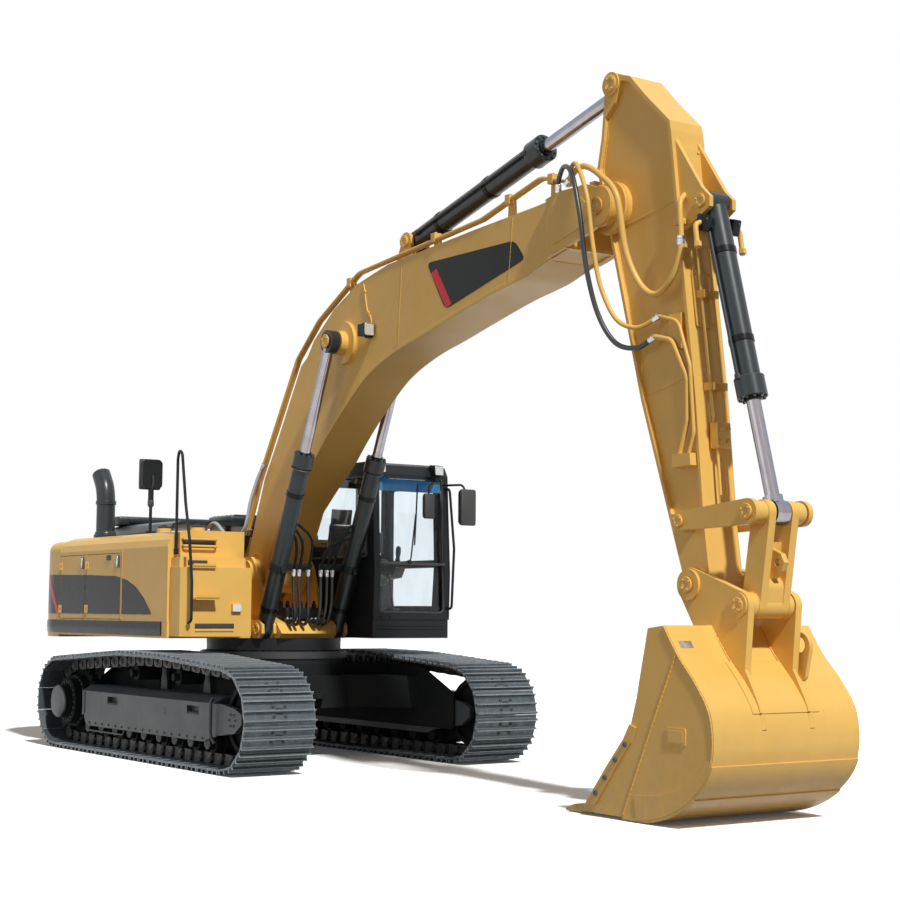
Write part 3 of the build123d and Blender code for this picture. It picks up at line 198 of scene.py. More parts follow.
def round_block(centre, size, radius, steps=3):
    """A box with rounded edges: core corner + radius n, where n is the unit direction at longitude u and
    latitude v, and each quarter of the sphere is moved out to its own corner of the core."""
    half = np.asarray(size, float) / 2
    radius = min(radius, half.min() * 0.98)
    q = np.linspace(0, np.pi / 2, steps)
    u = np.concatenate([q + k * np.pi / 2 for k in range(4)])
    v = np.concatenate([q - np.pi / 2, q])
    su = np.repeat([(1, 1), (-1, 1), (-1, -1), (1, -1)], steps, 0)
    sv = np.repeat([-1, 1], steps)
    core = half - radius
    v, u = v[:, None], u[None, :]
    x = core[0] * su[None, :, 0] + radius * np.cos(v) * np.cos(u)
    y = core[1] * su[None, :, 1] + radius * np.cos(v) * np.sin(u)
    z = core[2] * sv[:, None] + radius * np.sin(v) + 0 * u
    pts = np.stack([x, y, z], 2) + np.asarray(centre, float)
    p, f = sheet_of(pts, close_cols=True, caps=True)
    return p, [f[0][:, ::-1], f[1][:, ::-1], f[2][:, ::-1]]


def plate(outline, thick, origin=(0, 0, 0), u=(1, 0, 0), v=(0, 0, 1)):
    """A flat outline in the directions u and v, given a thickness along u x v, half to each side."""
    o = np.asarray(outline, float)
    u, v = np.asarray(u, float), np.asarray(v, float)
    w = np.cross(u, v)
    if 0.5 * np.sum(o[:, 0] * np.roll(o[:, 1], -1) - np.roll(o[:, 0], -1) * o[:, 1]) < 0:
        o = o[::-1]
    flat = np.asarray(origin, float) + o[:, :1] * u + o[:, 1:2] * v
    n = len(o)
    pts = np.vstack([flat - w * thick / 2, flat + w * thick / 2])
    i = np.arange(n)
    j = (i + 1) % n
    return pts, [i[None, ::-1], (n + i)[None, :], np.stack([i, j, n + j, n + i], 1)]


def placed(skin, matrix):
    """The skin with its points carried by a 4x4 matrix."""
    m = np.array(matrix, float)
    p, f = skin
    q = p @ m[:3, :3].T + m[:3, 3]
    if np.linalg.det(m[:3, :3]) < 0:
        f = [a[:, ::-1] for a in f]
    return q, f


def mirrored(skin):
    """The skin's twin on the machine's other side: Y changes its sign."""
    return placed(skin, np.diag([1, -1, 1, 1]))


def repeated(skin, shifts):
    """Copies of one skin at each of the shifts."""
    p, f = skin
    s = np.asarray(shifts, float)
    pts = (p[None] + s[:, None]).reshape(-1, 3)
    step = np.arange(len(s)) * len(p)
    return pts, [(a[None] + step[:, None, None]).reshape(-1, a.shape[1]) for a in f]


def at(points):
    """Points in millimetres forward of the swing axis, as points of the row in metres."""
    return np.asarray(points, float) * 0.001 + (SWING_X, 0, 0)


def on_side(points, y):
    """Side profile points (forward, up) in millimetres, on the upright plane at y."""
    p = np.asarray(points, float)
    return at(np.stack([p[:, 0], np.full(len(p), float(y)), p[:, 1]], 1))


def closed(loop):
    """A loop of points with the first one again at its end."""
    return np.vstack([loop, loop[:1]])


def outward(path):
    """Unit normals of a path in the side view: each step (dx, dz) turned a quarter to (-dz, dx)."""
    d = np.gradient(path, axis=0)
    return np.stack([-d[:, 1], d[:, 0]], 1) / np.linalg.norm(d, axis=1, keepdims=True)


def softened(points, radius, steps=4):
    """A closed outline with its corners rounded: each corner slides between two points a radius away by
    (1-t)^2 a + 2t(1-t) corner + t^2 b."""
    p = np.asarray(points, float)
    t = np.linspace(0, 1, steps)[:, None]
    out = []
    for before, corner, after in zip(np.roll(p, 1, 0), p, np.roll(p, -1, 0)):
        u, v = before - corner, after - corner
        lu, lv = np.linalg.norm(u), np.linalg.norm(v)
        a, b = corner + u / lu * min(radius, lu * 0.45), corner + v / lv * min(radius, lv * 0.45)
        out.append((1 - t) ** 2 * a + 2 * t * (1 - t) * corner + t ** 2 * b)
    return np.vstack(out)


def side_plate(outline, y, thick):
    """An outline of the side view, in millimetres, as a plate centred on y."""
    o = np.asarray(outline, float) * 0.001
    return plate(o, thick * 0.001, (SWING_X, y * 0.001, 0), (1, 0, 0), (0, 0, 1))


def carried(skin, origins, ahead, out):
    """Copies of a skin drawn as (along, across, outward), one at each origin: origin + along ahead
    - across Y + outward out."""
    p, f = skin
    pts = (origins[:, None] + p[None, :, :1] * ahead[:, None] - p[None, :, 1:2] * np.array([0, 1.0, 0])
           + p[None, :, 2:] * out[:, None])
    step = np.arange(len(origins)) * len(p)
    return pts.reshape(-1, 3), [(a[None] + step[:, None, None]).reshape(-1, a.shape[1]) for a in f]


def bolt(centre, axis, size=0.012, head=0.010, washer=True):
    """Hexagon head on a round washer, standing out along an axis in metres."""
    skins = [turned([(0, size), (head * 0.85, size), (head, size * 0.8)], centre, axis, 6)]
    if washer:
        skins.append(turned([(-0.001, size * 1.35), (head * 0.22, size * 1.35), (head * 0.25, size * 1.2)],
                            centre, axis, 12))
    return skins


def add_piece(name, skins, body, finish, smooth=35, bevel=0.0, replaces=()):
    """Puts skins into one mesh object at the origin, which rides on a body of the frame."""
    points, faces = join(skins) if isinstance(skins, list) else skins
    mesh = bpy.data.meshes.new(name)
    sizes = np.concatenate([np.full(len(a), a.shape[1]) for a in faces])
    loops = np.concatenate([a.ravel() for a in faces]).astype(np.int32)
    mesh.vertices.add(len(points))
    mesh.vertices.foreach_set("co", points.astype(np.float32).ravel())
    mesh.loops.add(len(loops))
    mesh.loops.foreach_set("vertex_index", loops)
    mesh.polygons.add(len(sizes))
    mesh.polygons.foreach_set("loop_start", np.concatenate([[0], np.cumsum(sizes)[:-1]]).astype(np.int32))
    mesh.polygons.foreach_set("use_smooth", np.ones(len(sizes), bool))
    mesh.update(calc_edges=True)
    mesh.validate()
    mesh.set_sharp_from_angle(angle=math.radians(smooth))
    ob = bpy.data.objects.new(name, mesh)
    bpy.context.scene.collection.objects.link(ob)
    mesh.materials.append(bpy.data.materials[finish + "_look"])
    if bevel:
        m = ob.modifiers.new("edge", "BEVEL")
        m.width, m.segments, m.limit_method, m.angle_limit = bevel, 2, "ANGLE", math.radians(40)
        m.harden_normals = False
    if body:
        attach(ob, body)
    if replaces:
        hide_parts(*replaces)
    return ob


# finishes

def node(tree, kind, inputs=(), **settings):
    """One shader node, its settings and its inputs: a value, or the socket that feeds it."""
    n = tree.nodes.new("ShaderNode" + kind)
    for key, value in settings.items():
        setattr(n, key, value)
    for key, value in dict(inputs).items():
        if isinstance(value, bpy.types.NodeSocket):
            tree.links.new(value, n.inputs[key])
        else:
            n.inputs[key].default_value = value
    return n


def new_finish(name):
    mat = bpy.data.materials.new(name + "_look")
    mat.use_nodes = True
    tree = mat.node_tree
    tree.nodes.clear()
    out = tree.nodes.new("ShaderNodeOutputMaterial")
    bsdf = tree.nodes.new("ShaderNodeBsdfPrincipled")
    tree.links.new(bsdf.outputs[0], out.inputs[0])
    place = node(tree, "TexCoord").outputs["Object"]
    return mat, tree, bsdf, place


def clouds(tree, place, scale, detail=3.0, rough=0.6, stretch=None):
    """Noise on the object's own coordinates, stretched along an axis where asked."""
    if stretch is not None:
        place = node(tree, "Mapping", {"Vector": place, "Scale": stretch}).outputs[0]
    return node(tree, "TexNoise", {"Vector": place, "Scale": scale, "Detail": detail,
                                   "Roughness": rough}).outputs[0]


def ramp(tree, value, low, high, to_low=0.0, to_high=1.0):
    """value taken from low..high to to_low..to_high, held at the ends."""
    return node(tree, "MapRange", {"Value": value, "From Min": low, "From Max": high,
                                   "To Min": to_low, "To Max": to_high}).outputs[0]


def times(tree, a, b):
    n = node(tree, "Math", operation="MULTIPLY")
    for socket, value in zip(n.inputs, (a, b)):
        if isinstance(value, bpy.types.NodeSocket):
            tree.links.new(value, socket)
        else:
            socket.default_value = value
    return n.outputs[0]


def blend(tree, amount, a, b):
    n = node(tree, "Mix", {0: amount}, data_type="RGBA")
    for socket, value in ((n.inputs[6], a), (n.inputs[7], b)):
        if isinstance(value, bpy.types.NodeSocket):
            tree.links.new(value, socket)
        else:
            socket.default_value = (*value[:3], 1.0)
    return n.outputs[2]


def shade(colour, k):
    return tuple(min(1.0, c * k) for c in colour[:3])


def paint(name, colour, rough=0.38, dust=(0.36, 0.31, 0.24), dust_top=0.9, dust_amount=0.35, spread=0.07,
          worn=(0.16, 0.13, 0.10), chips=0.0, grain=0.02, metal=0.0, coat=0.05, edge=0.006, shine=0.35):
    """Sprayed paint: broad cloudy changes of tone, fine orange peel, dust that thins with height above the
    ground, chips that show the metal, and edges that are slightly rubbed."""
    mat, tree, bsdf, place = new_finish(name)
    broad = clouds(tree, place, 0.9, 4.0)
    fine = clouds(tree, place, 14.0, 5.0, 0.7)
    tone = blend(tree, ramp(tree, broad, 0.3, 0.7), shade(colour, 1 - spread), shade(colour, 1 + spread))
    tone = blend(tree, times(tree, ramp(tree, fine, 0.5, 0.8), 0.25), tone, shade(colour, 1 - 1.6 * spread))
    height = node(tree, "SeparateXYZ", {0: place}).outputs[2]
    low = times(tree, ramp(tree, height, dust_top, 0.0),
                ramp(tree, clouds(tree, place, 5.0, 6.0, 0.75), 0.35, 0.7))
    tone = blend(tree, times(tree, low, dust_amount), tone, dust)
    round_edge = node(tree, "Bevel", {"Radius": edge}, samples=4)
    flat = node(tree, "NewGeometry").outputs["Normal"]
    dot = node(tree, "VectorMath", {0: round_edge.outputs[0], 1: flat},
               operation="DOT_PRODUCT").outputs["Value"]
    rub = times(tree, ramp(tree, dot, 0.995, 0.85), ramp(tree, clouds(tree, place, 9.0, 4.0), 0.42, 0.62))
    tone = blend(tree, times(tree, rub, 0.35), tone, shade(colour, 1.35) if not chips else worn)
    if chips:
        spots = ramp(tree, clouds(tree, place, 23.0, 8.0, 0.8), 0.66 - 0.1 * chips, 0.72 - 0.1 * chips)
        tone = blend(tree, times(tree, spots, 0.8), tone, worn)
    tree.links.new(tone, bsdf.inputs["Base Color"])
    gloss = ramp(tree, clouds(tree, place, 3.0, 6.0, 0.7), 0.3, 0.7, rough - 0.05, rough + 0.1)
    tree.links.new(gloss, bsdf.inputs["Roughness"])
    peel = clouds(tree, place, 160.0, 2.0)
    bump = node(tree, "Bump", {"Strength": grain * 6, "Distance": 0.002, "Height": peel,
                               "Normal": round_edge.outputs[0]})
    tree.links.new(bump.outputs[0], bsdf.inputs["Normal"])
    bsdf.inputs["Metallic"].default_value = metal
    bsdf.inputs["Coat Weight"].default_value = coat
    bsdf.inputs["Coat Roughness"].default_value = 0.12
    bsdf.inputs["Specular IOR Level"].default_value = shine
    return mat


def steel(name, colour, rough=0.45, dirt=(0.10, 0.085, 0.07), dirt_amount=0.5, metal=0.85, scale=12.0,
          bump_by=0.3, polish_and_highlight=None):
    """Bare or cast steel: blotches of dirt over metal, pitted by noise, with the roughness following the
    dirt."""
    mat, tree, bsdf, place = new_finish(name)
    blot = ramp(tree, clouds(tree, place, scale, 7.0, 0.75), 0.38, 0.66)
    broad = clouds(tree, place, 1.7, 4.0)
    tone = blend(tree, ramp(tree, broad, 0.3, 0.7), shade(colour, 0.8), shade(colour, 1.2))
    tone = blend(tree, times(tree, blot, dirt_amount), tone, dirt)
    # edges painted a lighter colour: partly polished wear, partly a painted highlight
    if polish_and_highlight:
        round_edge = node(tree, "Bevel", {"Radius": 0.008}, samples=4)
        flat = node(tree, "NewGeometry").outputs["Normal"]
        dot = node(tree, "VectorMath", {0: round_edge.outputs[0], 1: flat},
                   operation="DOT_PRODUCT").outputs["Value"]
        tone = blend(tree, times(tree, ramp(tree, dot, 0.99, 0.8), 0.7), tone, polish_and_highlight)
    tree.links.new(tone, bsdf.inputs["Base Color"])
    tree.links.new(ramp(tree, blot, 0.0, 1.0, rough - 0.08, rough + 0.25), bsdf.inputs["Roughness"])
    bump = node(tree, "Bump", {"Strength": bump_by, "Distance": 0.003,
                               "Height": clouds(tree, place, scale * 6, 5.0)})
    tree.links.new(bump.outputs[0], bsdf.inputs["Normal"])
    bsdf.inputs["Metallic"].default_value = metal
    return mat


def chrome(name):
    """Ground and plated rod: mirror metal with very fine rings of grinding and a faint film of oil."""
    mat, tree, bsdf, place = new_finish(name)
    film = clouds(tree, place, 6.0, 4.0, 0.6)
    tone = blend(tree, ramp(tree, film, 0.4, 0.7), (0.36, 0.33, 0.35), (0.28, 0.26, 0.28))
    # painted reflection: by how squarely each face meets the view, the colour turns bluish in a middle band
    # and dark towards the rims
    facing = node(tree, "LayerWeight", {"Blend": 0.5}).outputs["Facing"]
    tone = blend(tree, ramp(tree, facing, 0.35, 0.62), tone, (0.16, 0.24, 0.40))
    tone = blend(tree, ramp(tree, facing, 0.70, 0.92), tone, (0.12, 0.11, 0.12))
    tree.links.new(tone, bsdf.inputs["Base Color"])
    tree.links.new(ramp(tree, film, 0.3, 0.7, 0.10, 0.22), bsdf.inputs["Roughness"])
    bump = node(tree, "Bump", {"Strength": 0.03, "Distance": 0.001,
                               "Height": clouds(tree, place, 300.0, 2.0)})
    tree.links.new(bump.outputs[0], bsdf.inputs["Normal"])
    bsdf.inputs["Metallic"].default_value = 1.0
    return mat


def pane(name, colour, rough=0.02, smear=0.05):
    """Clear glass with a light tint, and faint wiped smears in its roughness."""
    mat, tree, bsdf, place = new_finish(name)
    wipe = clouds(tree, place, 5.0, 5.0, 0.6, (1, 1, 0.35))
    tree.links.new(blend(tree, ramp(tree, wipe, 0.35, 0.75), shade(colour, 1.0), shade(colour, 0.93)),
                   bsdf.inputs["Base Color"])
    tree.links.new(ramp(tree, wipe, 0.45, 0.8, rough, rough + smear), bsdf.inputs["Roughness"])
    bump = node(tree, "Bump", {"Strength": 0.01, "Distance": 0.001, "Height": clouds(tree, place, 2.0, 1.0)})
    tree.links.new(bump.outputs[0], bsdf.inputs["Normal"])
    bsdf.inputs["Transmission Weight"].default_value = 1.0
    bsdf.inputs["IOR"].default_value = 1.25
    return mat


def soft_plastic(name, colour, rough=0.55, grain=90.0, depth=0.25):
    """Moulded plastic or rubber: a pebbled grain of small cells, dust in the hollows, dull gloss."""
    mat, tree, bsdf, place = new_finish(name)
    cells = node(tree, "TexVoronoi", {"Vector": place, "Scale": grain}).outputs["Distance"]
    broad = clouds(tree, place, 2.5, 5.0)
    tone = blend(tree, ramp(tree, broad, 0.35, 0.7), colour, shade(colour, 1.5))
    tone = blend(tree, times(tree, ramp(tree, cells, 0.2, 0.0), 0.2), tone, (0.16, 0.15, 0.13))
    tree.links.new(tone, bsdf.inputs["Base Color"])
    tree.links.new(ramp(tree, broad, 0.3, 0.7, rough - 0.07, rough + 0.12), bsdf.inputs["Roughness"])
    bump = node(tree, "Bump", {"Strength": depth, "Distance": 0.001, "Height": cells})
    tree.links.new(bump.outputs[0], bsdf.inputs["Normal"])
    return mat


def cloth(name, colour):
    """Woven seat cloth: two crossed waves for warp and weft, with a soft sheen."""
    mat, tree, bsdf, place = new_finish(name)
    warp = node(tree, "TexWave", {"Vector": place, "Scale": 110.0}, bands_direction="X").outputs["Fac"]
    weft = node(tree, "TexWave", {"Vector": place, "Scale": 110.0}, bands_direction="Z").outputs["Fac"]
    weave = times(tree, warp, weft)
    tone = blend(tree, ramp(tree, clouds(tree, place, 7.0, 4.0), 0.35, 0.7), colour, shade(colour, 1.6))
    tone = blend(tree, times(tree, weave, 0.5), tone, shade(colour, 2.2))
    tree.links.new(tone, bsdf.inputs["Base Color"])
    tree.links.new(ramp(tree, weave, 0.0, 1.0, 0.75, 0.95), bsdf.inputs["Roughness"])
    bump = node(tree, "Bump", {"Strength": 0.4, "Distance": 0.002, "Height": weave})
    tree.links.new(bump.outputs[0], bsdf.inputs["Normal"])
    bsdf.inputs["Sheen Weight"].default_value = 0.3
    return mat


def braid(name):
    """Woven steel sleeve over a hose: two crossed waves across a bright metal, with grey in the gaps."""
    mat, tree, bsdf, place = new_finish(name)
    one = node(tree, "TexWave", {"Vector": place, "Scale": 70.0}, bands_direction="DIAGONAL").outputs["Fac"]
    other = node(tree, "TexVoronoi", {"Vector": place, "Scale": 160.0}).outputs["Distance"]
    weave = times(tree, one, ramp(tree, other, 0.0, 0.6, 1.0, 0.3))
    tree.links.new(blend(tree, weave, (0.30, 0.31, 0.34), (0.80, 0.80, 0.84)), bsdf.inputs["Base Color"])
    tree.links.new(ramp(tree, weave, 0.0, 1.0, 0.45, 0.25), bsdf.inputs["Roughness"])
    bump = node(tree, "Bump", {"Strength": 0.4, "Distance": 0.001, "Height": weave})
    tree.links.new(bump.outputs[0], bsdf.inputs["Normal"])
    bsdf.inputs["Metallic"].default_value = 0.6
    return mat


def lens(name):
    """Fluted lamp glass over a bright reflector: fine upright ribs and a few rings."""
    mat, tree, bsdf, place = new_finish(name)
    ribs = node(tree, "TexWave", {"Vector": place, "Scale": 40.0}, bands_direction="Y").outputs["Fac"]
    tree.links.new(blend(tree, ribs, (0.55, 0.60, 0.62), (0.92, 0.94, 0.93)), bsdf.inputs["Base Color"])
    tree.links.new(ramp(tree, ribs, 0, 1, 0.05, 0.16), bsdf.inputs["Roughness"])
    bump = node(tree, "Bump", {"Strength": 0.5, "Distance": 0.003, "Height": ribs})
    tree.links.new(bump.outputs[0], bsdf.inputs["Normal"])
    bsdf.inputs["Metallic"].default_value = 0.45
    bsdf.inputs["Coat Weight"].default_value = 0.8
    return mat


NODE_FINISH = {
    "yellow_paint": "upper_frame counterweight body_panels tank toolbox right_rear_door right_front_door "
                    "left_rear_door left_front_door boom stick side_links bucket power_link boom_tubes "
                    "stick_tubes",
    "barrel_paint": "boom_cylinder_barrels stick_cylinder_barrel bucket_cylinder_barrel engine_hood exhaust",
    "black_paint": "swing_ring_upper swing_ring_lower cab_shell cab_door handrails right_mirror left_mirrors "
                   "cab_lamps boom_lamp",
    "tinted": "visor",
    "chrome": "boom_cylinder_rods stick_cylinder_rod bucket_cylinder_rod",
    "frame_grey": "track_frame_right track_frame_left",
    "grey_paint": "car_body sprockets idlers bottom_rollers carrier_rollers",
    "track_steel": "track_right track_left",
    "tooth_steel": "bucket_teeth",
    "engine_iron": "engine",
    "radiator_alloy": "radiator",
    "glass": "cab_glass door_glass",
    "seat_cloth": "seat",
    "dark_plastic": "consoles",
}


class ExcavatorFinishes(bpy.types.PropertyGroup):
    yellow: bpy.props.FloatVectorProperty(
        name="Yellow", description="Colour of the painted body, boom and bucket", subtype="COLOR", size=3,
        min=0, max=1, default=(0.80, 0.49, 0.125))
    black: bpy.props.FloatVectorProperty(
        name="Black", description="Colour of the cylinders, cab and hood", subtype="COLOR", size=3,
        min=0, max=1, default=(0.012, 0.015, 0.018))
    grey: bpy.props.FloatVectorProperty(
        name="Grey", description="Colour of the undercarriage", subtype="COLOR", size=3,
        min=0, max=1, default=(0.020, 0.023, 0.025))


class ExcavatorStage(bpy.types.PropertyGroup):
    lens: bpy.props.FloatProperty(
        name="Lens", description="Focal length on a 36 mm wide picture", default=70.064, min=10, max=300)
    floor: bpy.props.FloatProperty(
        name="Floor", description="Half the width of the studio floor", default=60.0, unit="LENGTH")


class EXCAVATOR_OT_finishes(bpy.types.Operator):
    """Makes the finishes and gives each solid of the frame its own"""
    bl_idname = "excavator.finishes"
    bl_label = "Finishes"

    def execute(self, context):
        p = context.scene.excavator_finishes
        paint("yellow_paint", tuple(p.yellow))
        paint("black_paint", tuple(p.black), rough=0.40, spread=0.15, dust_amount=0.04, coat=0.0, shine=0.2)
        paint("grey_paint", tuple(p.grey), rough=0.6, spread=0.2, dust_amount=0.02, chips=0.3, coat=0.0,
              shine=0.05, worn=(0.02, 0.018, 0.017))
        paint("barrel_paint", (0.022, 0.030, 0.036), rough=0.32, spread=0.12, dust_amount=0.05, coat=0.05,
              shine=0.35)
        paint("frame_grey", (0.085, 0.105, 0.125), rough=0.42, spread=0.15, dust_amount=0.15, chips=0.2,
              coat=0.0, shine=0.3, worn=(0.03, 0.027, 0.025))
        chrome("chrome")
        # the shoes' edges get a painted highlight on top of their polished wear
        steel("track_steel", (0.095, 0.125, 0.15), polish_and_highlight=(0.75, 0.78, 0.84), metal=0.35, rough=0.36,
              dirt_amount=0.6, dirt=(0.045, 0.044, 0.044))
        paint("black_gloss", (0.008, 0.010, 0.012), rough=0.24, spread=0.1, dust_amount=0.0, coat=0.0,
              shine=0.16)
        paint("red_stripe", (0.80, 0.010, 0.018), rough=0.3, dust_amount=0.0, coat=0.0, shine=0.3)
        steel("bare_metal", (0.55, 0.56, 0.58), rough=0.28, dirt_amount=0.25, metal=0.9)
        steel("weld_bead", shade(p.yellow, 0.95), rough=0.5, dirt_amount=0.04, metal=0.0, scale=40.0)
        soft_plastic("hose_rubber", (0.014, 0.015, 0.016), rough=0.33, grain=240.0, depth=0.1)
        braid("hose_braid")
        pane("tinted", (0.10, 0.30, 0.42))
        paint("sky_tint", (0.03, 0.20, 0.42), rough=0.1, spread=0.25, dust_amount=0.0, coat=0.3)
        paint("tinted_dark", (0.012, 0.02, 0.026), rough=0.08, spread=0.2, dust_amount=0.0, coat=0.6)
        lens("lamp_lens")
        steel("link_iron", (0.030, 0.032, 0.036), rough=0.5, polish_and_highlight=(0.30, 0.31, 0.33), metal=0.6)
        steel("tooth_steel", (0.42, 0.27, 0.08), metal=0.2, dirt_amount=0.3)
        steel("engine_iron", (0.16, 0.15, 0.13), metal=0.3)
        steel("radiator_alloy", (0.14, 0.14, 0.15), metal=0.7)
        pane("glass", (0.92, 0.975, 1.0))
        cloth("seat_cloth", (0.035, 0.035, 0.038))
        soft_plastic("dark_plastic", (0.028, 0.028, 0.030))
        soft_plastic("rubber", (0.018, 0.018, 0.019), rough=0.45, grain=60.0)
        for finish, names in NODE_FINISH.items():
            for name in names.split():
                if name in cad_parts:
                    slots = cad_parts[name].data.materials
                    slots.clear()
                    slots.append(bpy.data.materials[finish + "_look"])
        return {"FINISHED"}


def pitch_pins():
    """The link pins of a track, (forward, up) in metres: even steps round a line made of an arc about
    each wheel and straight runs between them and over the two carrier rollers."""
    r, z = WHEEL_RADIUS, WHEEL_Z
    idler = (float(np.mean([c[0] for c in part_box("idlers")])) - SWING_X, z)
    sprocket, posts = (SPROCKET_X, z), ((0.618, 0.988), (-0.379, 0.999))

    def leave(wheel, post, sign):
        d = np.subtract(post, wheel)
        return math.atan2(d[1], d[0]) + sign * math.acos(r / math.hypot(*d))

    a = np.linspace(-math.pi / 2, leave(idler, posts[0], -1), 91)
    b = np.linspace(leave(sprocket, posts[1], 1), 1.5 * math.pi, 91)
    line = np.vstack([[(sprocket[0], z - r)], np.stack([idler[0] + r * np.cos(a), z + r * np.sin(a)], 1),
                      posts, np.stack([sprocket[0] + r * np.cos(b), z + r * np.sin(b)], 1)])
    s = np.concatenate([[0], np.cumsum(np.linalg.norm(np.diff(line, axis=0), axis=1))])
    wanted = (np.arange(SHOE_COUNT) + 0.5) * s[-1] / SHOE_COUNT
    return np.stack([np.interp(wanted, s, line[:, 0]), np.interp(wanted, s, line[:, 1])], 1)


class EXCAVATOR_OT_tracks(bpy.types.Operator):
    """Builds both tracks link by link: shoes with three grousers, bolts, link plates and pins"""
    bl_idname = "excavator.tracks"
    bl_label = "Tracks"

    def execute(self, context):
        pins = pitch_pins()
        step = np.roll(pins, -1, 0) - pins
        step /= np.linalg.norm(step, axis=1, keepdims=True)
        ahead = np.stack([step[:, 0], 0 * step[:, 0], step[:, 1]], 1)
        out = np.stack([step[:, 1], 0 * step[:, 0], -step[:, 0]], 1)
        section = [(.004, .0585), (.002, .066), (.007, .0703), (.011, .104), (.019, .1063), (.026, .078),
                   (.034, .0703), (.090, .0703), (.098, .078), (.103, .1058), (.113, .1058), (.118, .078),
                   (.126, .0703), (.182, .0703), (.190, .078), (.197, .1063), (.205, .104), (.210, .0703),
                   (.2135, .066), (.2155, .0585), (.245, .0572), (.245, .0515), (.208, .0522)]
        shoe = plate(section, 0.75)
        rear_half = [(-.036, -.010), (-.026, -.040), (.004, -.052), (.110, -.052), (.125, -.030),
                     (.125, .035), (.105, .0583), (.030, .0583), (.012, .036), (-.020, .030), (-.034, .012)]
        front_half = [(.216 - u * 0.99, h) for u, h in rear_half]
        parts = {"shoes": ([shoe], "track_steel"), "links": ([], "link_iron"), "bolts": ([], "link_iron"),
                 "mud_hole_shade": ([], "dark_plastic")}
        for y in (-1, 1):
            parts["links"][0].append(plate(rear_half, 0.022, (0, y * 0.082, 0)))
            parts["links"][0].append(plate(front_half, 0.022, (0, y * 0.106, 0)))
            parts["links"][0].append(turned([(0.060, .036), (.128, .036), (.130, .022), (.136, .021),
                                             (.138, .016)], (0, 0, 0), (0, y, 0), 16))
            for u in (0.062, 0.154):
                parts["bolts"][0].extend(bolt((u, y * 0.062, 0.0703), (0, 0, 1), 0.017, 0.015, False))
        # dark patches on the shoes where the mud holes would open: painted shade, as no hole is cut
        parts["mud_hole_shade"][0].append(plate(softened([(.074, -.040), (.142, -.040), (.142, .040),
                                                     (.074, .040)], .012), 0.0014, (0, 0, 0.0706),
                                           (1, 0, 0), (0, 1, 0)))
        for name, side in (("right", -1), ("left", 1)):
            base = np.stack([pins[:, 0] + SWING_X, np.full(SHOE_COUNT, side * TRACK_Y), pins[:, 1]], 1)
            for part, (skins, finish) in parts.items():
                skin = carried(join(skins), base, ahead, out)
                add_piece(f"track_{part}_{name}", skin, "undercarriage", finish, smooth=30,
                          replaces=(f"track_{name}",))
        return {"FINISHED"}


class EXCAVATOR_OT_decals(bpy.types.Operator):
    """Lays the plain black panels, their red slashes and the rubbing strip on the painted sides"""
    bl_idname = "excavator.decals"
    bl_label = "Colour panels"

    def execute(self, context):
        panel = softened([(3276, 4779), (4647, 4759), (4803, 4570), (3587, 4295)], 70)
        slash = softened([(3352, 4668), (3440, 4700), (3690, 4330), (3600, 4312)], 14)
        for name, side in (("right", -1), ("left", 1)):
            add_piece(f"boom_panel_{name}", side_plate(panel, side * 251.0, 1.6), "boom", "black_gloss")
            add_piece(f"boom_slash_{name}", side_plate(slash, side * 252.2, 1.0), "boom", "red_stripe")
        # the arched panel runs over the tail's corner and two doors, each stretch on its own body
        top = np.array([(-3250, 1925), (-2900, 1925), (-1500, 1904), (-811, 1884), (-520, 1838), (-297, 1763),
                        (-100, 1650), (83, 1494)], float)
        for side, word in ((-1, "right"), (1, "left")):
            for name, body, low, high in (("tail", "upper", -3150, -2360),
                                          ("rear", word + "_rear_door", -2343, -1647),
                                          ("post", "upper", -1639, -1611),
                                          ("front", word + "_front_door", -1603, -700),
                                          ("tank", "upper", -656, 80)):
                if side > 0 and name in ("rear", "tank"):
                    continue
                x = np.linspace(low, high, 40)
                over = 1.6 if body == "upper" else 1.8
                h = np.interp(x, top[:, 0], top[:, 1])
                z0 = np.full_like(x, 1478.0)
                skin = tail_band(x, z0, h, side, over)
                add_piece(f"side_panel_{name}_{word}", skin, body, "black_gloss")
            x = np.linspace(-2766, -2364, 40)
            skin = tail_band(x, np.clip(1905 - (x + 2766) * 1.3, 1480, 1905),
                             np.clip(1905 - (x + 2686) * 1.3, 1481, 1906), side, 2.8)
            add_piece(f"side_slash_{word}", skin, "upper", "red_stripe")
            x = np.linspace(-3300, 330, 90)
            add_piece(f"rub_strip_{word}", tail_band(x, 1262 + 0 * x, 1408 + 0 * x, side, 12, rounded=True),
                      "upper", "black_gloss")
        return {"FINISHED"}


def tail_band(s, low, high, side, over, rounded=False):
    """A band on the body's side that follows the tail's corner: forward of the corner's centre cx the side
    is flat, behind it the point is (cx - r sin a, CORNER_Y + r cos a) with a = (cx - s) / r and r the
    corner's radius, and the band stands over the surface by a fixed amount. The section is a flat strip, or
    bows where rounded."""
    r = CORNER_RADIUS
    cx = -math.sqrt((TAIL_RADIUS - r) ** 2 - CORNER_Y ** 2)
    a = np.clip((cx - s) / r, 0, None)
    n = np.stack([-np.sin(a), np.cos(a)], 1)
    foot = np.stack([np.where(a > 0, cx - r * np.sin(a), s),
                     np.where(a > 0, CORNER_Y + r * np.cos(a), BODY_HALF)], 1)
    v = np.array([0, 0, 0.12, 0.5, 0.88, 1, 1]) if rounded else np.array([0, 0, 0.5, 1, 1])
    out = np.array([-1, 0.3, 0.85, 1, 0.85, 0.3, -1]) if rounded else np.array([-1, 1, 1, 1, -1])
    flat = foot[:, None] + n[:, None] * (out * over)[None, :, None]
    z = low[:, None] + (high - low)[:, None] * v[None, :]
    pts = at(np.stack([flat[..., 0], side * flat[..., 1], z], 2))
    skin = sheet_of(pts, close_cols=True, caps=True)
    return skin if side > 0 else (skin[0], [f[:, ::-1] for f in skin[1]])


